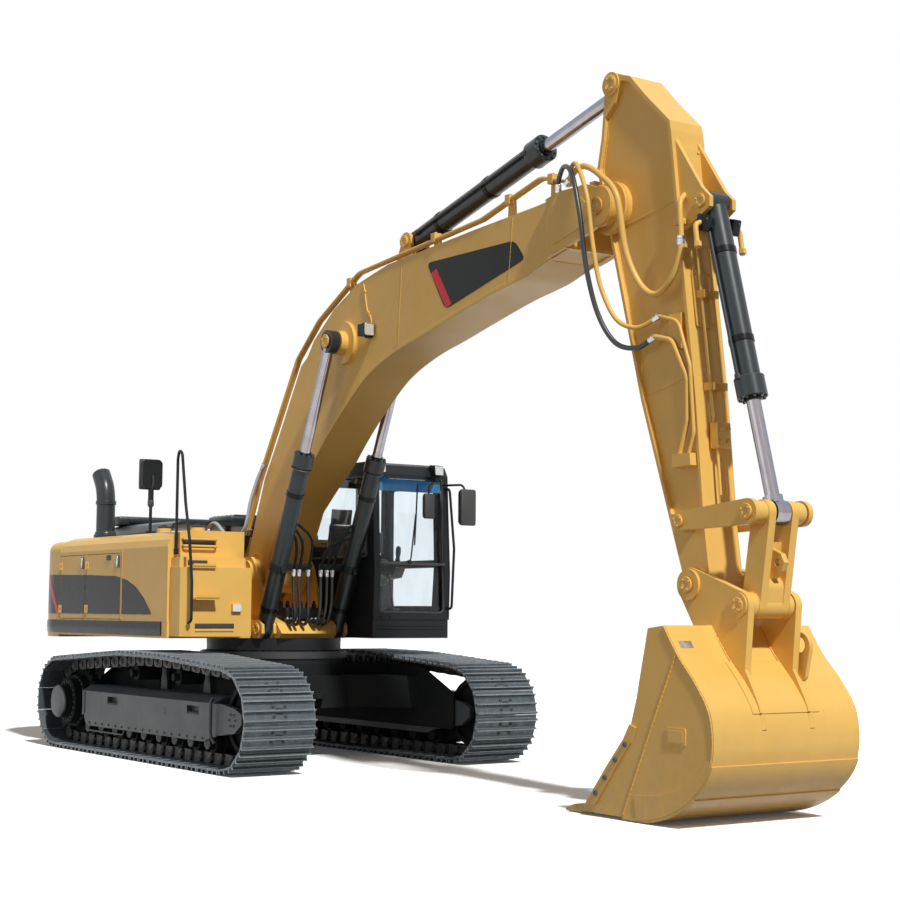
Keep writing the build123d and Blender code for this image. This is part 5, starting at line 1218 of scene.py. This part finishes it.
class EXCAVATOR_OT_body(bpy.types.Operator):
    """Adds the exhaust pipe, latches, hood fittings, studs, caps, steps, reflectors and right mirror"""
    bl_idname = "excavator.body"
    bl_label = "Body fittings"

    def execute(self, context):
        # exhaust: one pipe that bends to its slanted mouth, open at the end
        x, y = -1900, -1150
        route = rounded_path(at([(x, y, 2410), (x, y, 2870), (x - 150, y, 3070)]), 0.20, 12)
        route = np.vstack([route[:1] - (0, 0, .065), route])
        way = (route[-1] - route[-2]) / np.linalg.norm(route[-1] - route[-2])
        outer = tube(route, 0.105, 40, caps=False)
        _path, _t, across, down = frames_along(route)
        a = np.linspace(0, 2 * np.pi, 40, endpoint=False)
        rim = []
        for back, r in ((0.0, .105), (0.0, .097), (0.16, .097), (0.16, .001)):
            ring = np.cos(a)[:, None] * across[-1] + np.sin(a)[:, None] * down[-1]
            rim.append(route[-1] - way * back + r * ring)
        mouth = sheet_of(np.stack(rim), close_cols=True)
        foot = turned([(0, .130), (.030, .130), (.036, .118), (.060, .116), (.068, .106)],
                      at([(x, y, 2340)])[0], (0, 0, 1), 40)
        clamp = turned([(-.02, .1045), (-.02, .116), (.02, .116), (.02, .1045)], at([(x, y, 2735)])[0],
                       (0, 0, 1), 40)
        add_piece("exhaust_pipe", [outer, mouth, foot, clamp], "upper", "barrel_paint", smooth=50,
                  replaces=("exhaust",))

        # side doors: latch, its metal handle and the hinge bolts
        for side, word in ((-1, "right"), (1, "left")):
            for name, low, high in (("rear", -2350, -1640), ("front", -1610, -690)):
                skins, metal = [], []
                c = at([(high - 75, side * (BODY_HALF + 1), 2040)])[0]
                skins.append(round_block(c, (0.085, 0.012, 0.13), 0.005))
                metal.append(round_block(c + np.array([0, side * 0.010, 0.01]), (0.030, 0.016, 0.09), 0.006))
                lock = c + np.array([0, side * .004, -.045])
                metal.append(turned([(0, .012), (.010, .012), (.013, .009)], lock, (0, side, 0), 16))
                for z in (1530, 2010):
                    for dz in (-28, 28):
                        metal += bolt(at([(low + 44, side * 1498, z + dz)])[0], (0, side, 0), 0.009, 0.006,
                                      False)
                add_piece(f"{word}_{name}_latch", skins, f"{word}_{name}_door", "dark_plastic")
                add_piece(f"{word}_{name}_latch_metal", metal, f"{word}_{name}_door", "bare_metal")
        vent = [round_block(at([(-1010, -1491, 2085)])[0], (0.11, 0.014, 0.055), 0.005)]
        for k in range(4):
            vent.append(round_block(at([(-1010, -1499, 2068 + 12 * k)])[0], (0.09, 0.006, 0.005), 0.002))
        add_piece("side_vent", vent, "right_front_door", "dark_plastic")

        # hood: bars in the slots, and two raised boxes with ribs
        bars = []
        for i in range(7):
            cx = -2180 + i * 75 + 17
            for k in range(6):
                bars.append(round_block(at([(cx, 300 + k * 80, 2478)])[0], (0.034, 0.006, 0.02), 0.002))
        ridge = []
        for low, high, y0, y1, z0, z1 in ((-2330, -2040, -925, 925, 2494, 2600),
                                          (-1330, -760, -150, 620, 2494, 2585)):
            ridge.append(round_block(at([((low + high) / 2, (y0 + y1) / 2, (z0 + z1) / 2)])[0],
                                     ((high - low) * .001, (y1 - y0) * .001, (z1 - z0) * .001), 0.03))
        for k in range(6):
            ridge.append(round_block(at([(-1290 + k * 100, 235, 2588)])[0], (0.03, 0.66, 0.016), 0.006))
            ridge.append(round_block(at([(-2030, -700 + k * 280, 2550)])[0], (0.016, 0.2, 0.05), 0.006))
        add_piece("hood_ridge", ridge, "engine_hood", "barrel_paint")
        add_piece("hood_bars", bars, "engine_hood", "black_paint")
        # walkway on the tank: studs in rows, none near the two filler caps and the right mirror's post
        base = plate(np.array([(-.006, -.016), (.006, -.016), (.006, .016), (-.006, .016)]), 0.004,
                     (0, 0, 0), (1, 0, 0), (0, 1, 0))
        gx, gy = np.meshgrid(np.arange(-600, 420, 60), np.arange(-1180, -660, 60))
        shifts = at(np.stack([gx.ravel(), gy.ravel(), np.full(gx.size, 2342.0)], 1))
        keep = np.full(gx.size, True)
        for x, y, clear in ((-300, -1180, 110), (120, -1000, 110), (-530, -1235, 90)):
            keep &= np.hypot(gx.ravel() - x, gy.ravel() - y) > clear
        add_piece("walkway_studs", repeated(base, shifts[keep]), "upper", "black_paint")

        # filler caps with their grips, then the steps, rails, seams and lamp of the front locker
        caps = []
        ring = np.linspace(0, 2 * np.pi, 24, endpoint=False)
        for cx, cy in ((-300, -1180), (120, -1000)):
            c = at([(cx, cy, 2385)])[0]
            caps.append(turned([(-.004, .060), (.020, .060), (.026, .052), (.026, .0)], c, (0, 0, 1), 32))
            for a in ring:
                caps.append(round_block(c + np.array([.060 * math.cos(a), .060 * math.sin(a), .008]),
                                        (.006, .006, .022), .002))
            caps.append(round_block(c + np.array([0, 0, .032]), (.10, .018, .018), .006))
        add_piece("filler_caps", caps, "upper", "dark_plastic")
        steps = [treads(800, -1375, -1125, 1664), treads(886, -1375, -1125, 1666),
                 treads(800, -1375, -1125, 1984), treads(776, -1330, -900, 1330)]
        for z in (2180, 2250):
            rail = rounded_path(at([(452, -1330, z), (500, -1330, z), (500, -960, z), (452, -960, z)]), 0.03)
            steps.append(tube(rail, 0.012, 10))
        seams = [bead(at([(x, y, 1425), (x, y, 2170)]), 0.004) for x, y in ((452, -1490), (-655, -1491.5))]
        add_piece("locker_steps", steps + seams, "upper", "yellow_paint")
        # thin dark blocks behind and under the steps and behind the rails: painted shade of the recesses
        dark = [round_block(at([(452, -1145, 2215)])[0], (0.010, 0.36, 0.10), 0.004),
                round_block(at([(640, -1250, 2004)])[0], (0.02, 0.22, 0.05), 0.006),
                round_block(at([(777, -1115, 1368)])[0], (0.008, 0.44, 0.05), 0.003)]
        add_piece("step_recess_shade", dark, "upper", "dark_plastic")
        lamp = [plate(softened([(-925, 1515), (-830, 1515), (-830, 1585), (-925, 1585)], 12) * 0.001, 0.006,
                      (SWING_X + 0.809, 0, 0), (0, 1, 0), (0, 0, 1))]
        add_piece("locker_lamp_lens", lamp, "upper", "lamp_lens")
        # tail: reflector lenses, lifting eye pads with their welds, bolts of the counterweight
        red, pads = [], []
        for yy in (-1050, 1050):
            px = -math.sqrt(TAIL_RADIUS ** 2 - yy ** 2)
            red.append(round_block(at([(px + 2, yy, 1620)])[0], (0.012, 0.12, 0.05), 0.005))
        add_piece("tail_reflectors", red, "upper", "red_stripe")
        for yy in (-650, 650):
            pad = softened([(-2950, yy - 70), (-2690, yy - 70), (-2690, yy + 70), (-2950, yy + 70)], 30)
            pads.append(plate(pad * .001, .010, (SWING_X, 0, 2.304), (1, 0, 0), (0, 1, 0)))
            pads.append(bead(at([(-2900, yy - 24, 2308), (-2740, yy - 24, 2308)]), 0.008))
            pads.append(bead(at([(-2900, yy + 24, 2308), (-2740, yy + 24, 2308)]), 0.008))
        for yy in (-1200, -400, 400, 1200):
            pads += bolt(at([(-2480, yy, 2300)])[0], (0, 0, 1), 0.028, 0.020)
        add_piece("tail_pads", pads, "upper", "yellow_paint")
        # right mirror: bracket, shell and glass that faces back to the seat
        skins = [round_block(at([(-570, -1235, 2975)])[0], (0.04, 0.25, 0.33), 0.018)]
        stay = rounded_path(at([(-530, -1235, 2790), (-480, -1235, 2850), (-485, -1235, 2960)]), 0.03)
        skins.append(tube(stay, 0.011, 10))
        skins.append(turned([(-.02, .020), (.0, .034), (.05, .034), (.07, .020)],
                            at([(-530, -1235, 2640)])[0], (0, 0, 1), 20))
        add_piece("right_mirror_shell", skins, "upper", "dark_plastic")
        glass = plate(softened([(-1335, 2845), (-1135, 2845), (-1135, 3105), (-1335, 3105)], 30) * .001, .003,
                      (SWING_X - 0.592, 0, 0), (0, 1, 0), (0, 0, 1))
        add_piece("right_mirror_glass", glass, "upper", "chrome")
        return {"FINISHED"}


def pillow(centre, size, crown, seams=(), steps=25):
    """A padded block: on a grid u, v in -1..1 the top is z = h/2 (1 + crown (1-u^2)(1-v^2)) with a groove
    of a few millimetres at each sewn channel, the sides pull in between the corners by crown (1-u^2), and
    the underside is the same without the crown."""
    sx, sy, sz = size
    g = np.linspace(-1, 1, steps)
    u, v = np.meshgrid(g, g, indexing="ij")
    round_u, round_v = np.sign(u) * np.abs(u) ** 0.75, np.sign(v) * np.abs(v) ** 0.75
    x = sx / 2 * round_u * (1 - 0.035 * (1 - v ** 2) * (np.abs(u) > 0.9))
    y = sy / 2 * round_v * (1 - 0.035 * (1 - u ** 2) * (np.abs(v) > 0.9))
    edge = np.sqrt(np.clip(1 - np.maximum(np.abs(u), np.abs(v)) ** 6, 0, 1))
    top = sz / 2 * edge * (1 + crown * (1 - u ** 2) * (1 - v ** 2))
    for k, along in seams:
        w = v if along == "v" else u
        top = top - 0.010 * np.exp(-((w - k) / 0.035) ** 2) * edge
    low = -sz / 2 * edge
    top_pts, low_pts = np.stack([x, y, top], 2), np.stack([x, y, low], 2)
    p = np.vstack([top_pts.reshape(-1, 3), low_pts.reshape(-1, 3)]) + np.asarray(centre, float)
    f = grid_faces(steps, steps)
    n = steps * steps
    last = steps - 1
    ring = np.concatenate([np.arange(steps), np.arange(1, steps) * steps + last,
                           last * steps + np.arange(last - 1, -1, -1), np.arange(last - 1, 0, -1) * steps])
    nxt = np.roll(ring, -1)
    return p, [f, f[:, ::-1] + n, np.stack([ring, ring + n, nxt + n, nxt], 1)]


def tilted(skin, centre, lean):
    """The skin turned about Y by an angle, then set at a centre."""
    c, s_ = math.cos(lean), math.sin(lean)
    m = np.eye(4)
    m[:3, :3] = ((c, 0, s_), (0, 1, 0), (-s_, 0, c))
    m[:3, 3] = centre
    return placed(skin, m)


class EXCAVATOR_OT_cab(bpy.types.Operator):
    """Fits the cab: seat, levers, screen, sun strip, seals, wiper, handle, hatch, lamps, mirrors, plinth"""
    bl_idname = "excavator.cab"
    bl_label = "Cab fittings"

    def execute(self, context):
        mid = CAB_MIDDLE
        seat_at = at([(30, mid, 1865)])[0]
        pads = [placed(pillow((0, 0, 0), (0.52, 0.50, 0.13), 0.35, ((-0.45, "v"), (0.45, "v"), (-0.3, "u"))),
                       Matrix.Translation(seat_at))]
        back = pillow((0, 0, 0), (0.60, 0.48, 0.12), 0.40, ((-0.45, "v"), (0.45, "v"), (0.1, "u")))
        pads.append(tilted(back, at([(-232, mid, 2200)])[0], math.pi / 2 + 0.2 - math.pi))
        head = pillow((0, 0, 0), (0.18, 0.26, 0.09), 0.4)
        pads.append(tilted(head, at([(-318, mid, 2585)])[0], math.pi / 2 + 0.15 - math.pi))
        for out in (-1, 1):
            rest = pillow((0, 0, 0), (0.34, 0.075, 0.05), 0.3)
            pads.append(placed(rest, Matrix.Translation(at([(60, mid + out * 255, 2075)])[0])))
        cushions = add_piece("seat_cushions", pads, "upper", "seat_cloth", smooth=80, replaces=("seat",))
        m = cushions.modifiers.new("soft", "SUBSURF")
        m.levels = m.render_levels = 1
        # pedestal: rubber bellows, whose radius waves up and down, on a plate
        h = np.linspace(0, 0.27, 28)
        fold = 0.13 + 0.016 * np.sin(h / 0.27 * 2 * np.pi * 5)
        base = at([(30, mid, 1512)])[0]
        bellows = [turned(np.stack([h, fold], 1), base, (0, 0, 1), 32),
                   turned([(-.012, .19), (0.004, .19), (0.010, .16)], base, (0, 0, 1), 32)]
        arms = []
        for out in (-1, 1):
            arms.append(strap(rounded_path(at([(-190, mid + out * 255, 2120), (-150, mid + out * 255, 2040),
                                               (220, mid + out * 255, 2040)]), 0.04), 0.045, 0.018))
        add_piece("seat_pedestal", bellows + arms, "upper", "rubber")
        # lever knobs and boots, switches, pedal pads, and the screen
        knobs, boots = [], []
        for out in (-1, 1):
            top = at([(350, mid + out * 335, 2192)])[0]
            knobs.append(turned([(-.07, .020), (-.03, .028), (0.01, .030), (.04, .026), (.055, .014),
                                 (.058, .0)], top, (0.1, 0, 1), 24))
            boots.append(turned([(0, .060), (.015, .052), (.02, .058), (.04, .042), (.045, .048),
                                 (.065, .032), (.09, .024)], at([(330, mid + out * 335, 2020)])[0],
                                (0.1, 0, 1), 24))
            for k in range(5):
                knobs.append(round_block(at([(20 + k * 45, mid + out * 335, 1962 + k * 8)])[0],
                                         (.022, .030, .012), .004))
            boots.append(round_block(at([(640, mid + out * 90, 1545)])[0], (.14, .095, .022), .008))
            for k in range(5):
                boots.append(round_block(at([(590 + k * 24, mid + out * 90, 1558)])[0], (.008, .085, .006),
                                         .002))
        add_piece("lever_knobs", knobs, "upper", "dark_plastic")
        add_piece("lever_boots", boots, "upper", "rubber")
        screen = [round_block(at([(735, 748, 2262)])[0], (0.03, 0.27, 0.21), 0.012)]
        add_piece("screen_case", screen, "upper", "dark_plastic")
        face = plate(softened([(645, 2185), (850, 2185), (850, 2335), (645, 2335)], 10) * .001, .002,
                     (SWING_X + .7185, 0, 0), (0, 1, 0), (0, 0, 1))
        add_piece("screen_face", face, "upper", "tinted_dark")

        strip = np.array([(640, 2800), (1416, 2800), (1416, 2950), (640, 2950)], float)
        lean_x = np.interp(strip[:, 1], (1940, 2959), (1133, 1073)) + 5
        front = at(np.stack([lean_x, strip[:, 0], strip[:, 1]], 1))
        film = sheet_of(np.stack([front, front + (0.003, 0, 0)]), close_cols=True, caps=True)
        add_piece("sun_strip", film, "upper", "sky_tint")
        # seals round the panes, wiper and door handle
        seals = []
        for y, pts in ((1505, [(18, 2078), (917, 2078), (887, 2887), (18, 2887)]),
                       (1505, [(18, 1578), (882, 1578), (917, 2012), (18, 2012)])):
            seals.append(tube(on_side(closed(softened(pts, 45, 5)), y), 0.010, 8))
        add_piece("door_seals", seals, "cab_door", "rubber")
        seals = []
        loop = closed(softened([(618, 1515), (1434, 1515), (1434, 2958), (618, 2958)], 60, 5))
        lean = np.interp(loop[:, 1], (1440, 1940, 2980), (1140, 1155, 1095))
        seals.append(tube(at(np.stack([lean - 6, loop[:, 0], loop[:, 1]], 1)), 0.012, 8))
        loop = closed(softened([(-490, 2100), (1000, 2100), (970, 2950), (-490, 2950)], 50, 5))
        seals.append(tube(on_side(loop, 546), 0.010, 8))
        loop = closed(softened([(-510, 2160), (-150, 2160), (-150, 2940), (-510, 2940)], 50, 5))
        seals.append(tube(on_side(loop, 1507), 0.010, 8))
        seals.append(round_block(at([(1144, 1027, 2030)])[0], (0.03, 0.83, 0.03), 0.008))
        add_piece("cab_seals", seals, "upper", "rubber")
        arm = rounded_path(at([(1168, 980, 2055), (1180, 985, 2090), (1150, 1060, 2560)]), 0.03)
        blade = at([(1170, 1035, 2230), (1156, 1062, 2560), (1134, 1090, 2880)])
        hub = at([(1160, 980, 2050)])[0]
        wiper = [tube(arm, 0.008, 8), strap(blade, 0.014, 0.010),
                 turned([(-.02, .022), (.012, .022), (.016, .016)], hub, (1, 0, 0), 20)]
        add_piece("wiper", wiper, "upper", "black_paint")
        grip = at([(845, 1514, 2045), (845, 1535, 2045), (955, 1535, 2045), (955, 1514, 2045)])
        handle = [round_block(at([(900, 1512, 2045)])[0], (.14, .014, .065), .006),
                  tube(rounded_path(grip, .015), .008, 10)]
        add_piece("door_handle", handle, "cab_door", "dark_plastic")
        # roof: hatch in two rounded steps, and the gutter over the door
        roof = [plate(softened([(-250, 700), (520, 700), (520, 1350), (-250, 1350)], 90) * .001, .03,
                      (SWING_X, 0, 3.120), (1, 0, 0), (0, 1, 0))]
        roof.append(plate(softened([(-180, 760), (450, 760), (450, 1290), (-180, 1290)], 80) * .001, .014,
                          (SWING_X, 0, 3.140), (1, 0, 0), (0, 1, 0)))
        roof.append(strap(rounded_path(at([(-560, 1512, 2960), (-480, 1512, 3040), (920, 1512, 3040),
                                           (1050, 1512, 2960)]), 0.08), 0.018, 0.016))
        add_piece("roof_hatch", roof, "upper", "black_paint", bevel=0.008)
        # lamps: bezel and lens
        for y in (606, 1345):
            u, v = np.array([0, 1.0, 0]), np.array([-.05, 0, 1.0])
            c = at([(1172, y, 3040)])[0]
            face = softened([(-45, -42), (45, -42), (45, 38), (-45, 38)], 12) * .001
            add_piece(f"cab_lamp_lens_{y}", plate(face, .006, c, u, v), "upper", "lamp_lens")
            rim = closed(face) * 1.08
            add_piece(f"cab_lamp_rim_{y}", tube(c + rim[:, :1] * u + rim[:, 1:2] * v, .005, 8), "upper",
                      "bare_metal")
        c = at([(2388, -323, 4262)])[0]
        face = softened([(-42, -50), (42, -50), (42, 50), (-42, 50)], 14) * .001
        add_piece("boom_lamp_lens", plate(face, .008, c, (0, 1, 0), (0, 0, 1)), "boom", "lamp_lens")
        rim = closed(face) * 1.1
        add_piece("boom_lamp_rim", tube(c + rim[:, :1] * (0, 1, 0) + rim[:, 1:2] * (0, 0, 1), .006, 8),
                  "boom", "bare_metal")
        # mirrors: rounded shells in front of the glass, which faces the seat
        shells, glasses = [], []
        for x, y, z, w, h in ((1402, 1560, 2640, .20, .39), (1200, 1195, 2650, .14, .27)):
            shells.append(round_block(at([(x, y, z)])[0], (0.05, w, h), 0.022))
            g = softened([(-w * .42, -h * .43), (w * .42, -h * .43), (w * .42, h * .43),
                          (-w * .42, h * .43)], .03)
            back_x = 1358 if x > 1300 else 1173
            glasses.append(plate(g, .003, at([(back_x, y, z)])[0], (0, 1, 0), (0, 0, 1)))
        add_piece("left_mirror_shells", shells, "upper", "dark_plastic")
        add_piece("left_mirror_glasses", glasses, "upper", "chrome")
        # plinth under the cab: ribs and bolts, then the ribs of the floor mat
        low = [round_block(at([(1132, mid, z)])[0], (0.012, 0.86, 0.010), 0.004) for z in (1340, 1374)]
        for y in (640, 760):
            low += bolt(at([(1141, y, 1475)])[0], (1, 0, 0), 0.014, 0.008)
        add_piece("plinth_ribs", low, "upper", "black_paint")
        mat = [round_block(at([(400 + 40 * k, mid, 1503)])[0], (0.02, 0.7, 0.006), 0.002) for k in range(15)]
        add_piece("floor_mat", mat, "upper", "rubber")
        return {"FINISHED"}


class EXCAVATOR_OT_stage(bpy.types.Operator):
    """Lays the pale floor, hangs the lights, and sets the camera"""
    bl_idname = "excavator.stage"
    bl_label = "Studio stage"

    def execute(self, context):
        scene, p = context.scene, context.scene.excavator_stage
        n = 41
        g = np.linspace(-p.floor, p.floor, n)
        pts = np.stack([*np.meshgrid(g, g, indexing="ij"), np.full((n, n), -0.002)], 2)
        mesh = bpy.data.meshes.new("floor")
        mesh.from_pydata(pts.reshape(-1, 3).tolist(), [], grid_faces(n, n).tolist())
        floor = bpy.data.objects.new("floor", mesh)
        scene.collection.objects.link(floor)
        mat = bpy.data.materials.new("studio_floor")
        mat.use_nodes = True
        tree = mat.node_tree
        tree.nodes.clear()
        lit = node(tree, "BsdfDiffuse", {"Color": (1.45, 1.47, 1.52, 1)})
        mesh.materials.append(mat)
        # the camera sees the floor as white paper that a shadow darkens and tints
        white = node(tree, "Emission", {"Color": (0.85, 0.92, 1, 1), "Strength": 0.05})
        mix = node(tree, "AddShader", {0: lit.outputs[0], 1: white.outputs[0]})
        rays = node(tree, "LightPath")
        seen = node(tree, "Math", {0: rays.outputs["Is Camera Ray"], 1: rays.outputs["Is Glossy Ray"]},
                    operation="MAXIMUM")
        dull = node(tree, "BsdfDiffuse", {"Color": (0.27, 0.25, 0.22, 1)})
        both = node(tree, "MixShader", {0: seen.outputs[0], 1: dull.outputs[0], 2: mix.outputs[0]})
        out = tree.nodes.new("ShaderNodeOutputMaterial")
        tree.links.new(both.outputs[0], out.inputs[0])

        world = bpy.data.worlds.new("studio")
        scene.world = world
        world.use_nodes = True
        tree = world.node_tree
        tree.nodes.clear()
        soft = node(tree, "Background", {"Color": (1.0, 0.87, 0.76, 1), "Strength": 0.17})
        paper = node(tree, "Background", {"Color": (1, 1, 1, 1), "Strength": 1.0})
        rays = node(tree, "LightPath")
        seen = node(tree, "Math", {0: rays.outputs["Is Camera Ray"], 1: rays.outputs["Is Transmission Ray"]},
                    operation="MAXIMUM")
        seen = node(tree, "Math", {0: seen.outputs[0], 1: rays.outputs["Is Glossy Ray"]}, operation="MAXIMUM")
        both = node(tree, "MixShader", {0: seen.outputs[0], 1: soft.outputs[0], 2: paper.outputs[0]})
        out = tree.nodes.new("ShaderNodeOutputWorld")
        tree.links.new(both.outputs[0], out.inputs[0])

        for name, energy, angle, aim, tint in (
                ("key", 3.35, 3, (-0.90, 0.13, -0.95), (1.0, 1.0, 0.94)),
                ("fill", 0.26, 40, (0.1, 0.9, -0.30), (0.90, 0.95, 1.0))):
            lamp = bpy.data.lights.new(name, "SUN")
            lamp.energy, lamp.angle, lamp.color = energy, math.radians(angle), tint
            ob = bpy.data.objects.new(name, lamp)
            ob.rotation_mode = "QUATERNION"
            ob.rotation_quaternion = Vector(aim).to_track_quat("-Z", "Y")
            scene.collection.objects.link(ob)

        yaw, pitch, roll = 2.53616, 0.09181, 0.00672
        ahead = Vector((math.cos(pitch) * math.cos(yaw), math.cos(pitch) * math.sin(yaw), math.sin(pitch)))
        right = Vector((math.sin(yaw), -math.cos(yaw), 0))
        up = right.cross(ahead)
        r = right * math.cos(roll) + up * math.sin(roll)
        u = up * math.cos(roll) - right * math.sin(roll)
        turn = Matrix((r, u, -ahead)).transposed()
        cam = bpy.data.cameras.new("camera")
        cam.sensor_width, cam.lens, cam.clip_end = 36.0, p.lens, 400.0
        ob = bpy.data.objects.new("camera", cam)
        ob.matrix_world = Matrix.Translation((14.62351, -9.2728, 1.53146)) @ turn.to_4x4()
        scene.collection.objects.link(ob)
        scene.camera = ob
        scene.view_settings.view_transform = "Standard"
        return {"FINISHED"}


class EXCAVATOR_PT_sidebar(bpy.types.Panel):
    """Lists the parts of the excavator's dressing"""
    bl_idname = "EXCAVATOR_PT_sidebar"
    bl_label = "Crawler excavator"
    bl_space_type = "VIEW_3D"
    bl_region_type = "UI"
    bl_category = "Excavator"

    def draw(self, context):
        for group in ("excavator_finishes", "excavator_stage"):
            data = getattr(context.scene, group)
            for key in data.__annotations__:
                self.layout.prop(data, key)
        for op in OPERATORS:
            self.layout.operator(op.bl_idname)


OPERATORS = (EXCAVATOR_OT_finishes, EXCAVATOR_OT_tracks, EXCAVATOR_OT_decals, EXCAVATOR_OT_hoses,
             EXCAVATOR_OT_arm, EXCAVATOR_OT_bucket, EXCAVATOR_OT_undercarriage, EXCAVATOR_OT_body,
             EXCAVATOR_OT_cab, EXCAVATOR_OT_stage)
GROUPS = (ExcavatorFinishes, ExcavatorStage)


def register():
    for cls in (*GROUPS, *OPERATORS, EXCAVATOR_PT_sidebar):
        bpy.utils.register_class(cls)
    bpy.types.Scene.excavator_finishes = bpy.props.PointerProperty(type=ExcavatorFinishes)
    bpy.types.Scene.excavator_stage = bpy.props.PointerProperty(type=ExcavatorStage)


def unregister():
    del bpy.types.Scene.excavator_finishes
    del bpy.types.Scene.excavator_stage
    for cls in reversed((*GROUPS, *OPERATORS, EXCAVATOR_PT_sidebar)):
        bpy.utils.unregister_class(cls)


def main():
    register()
    for op in OPERATORS:
        group, name = op.bl_idname.split(".")
        result = getattr(getattr(bpy.ops, group), name)()
        if result != {"FINISHED"}:
            raise RuntimeError(f"{op.bl_idname} didn't finish")


if __name__ == "__main__":
    main()
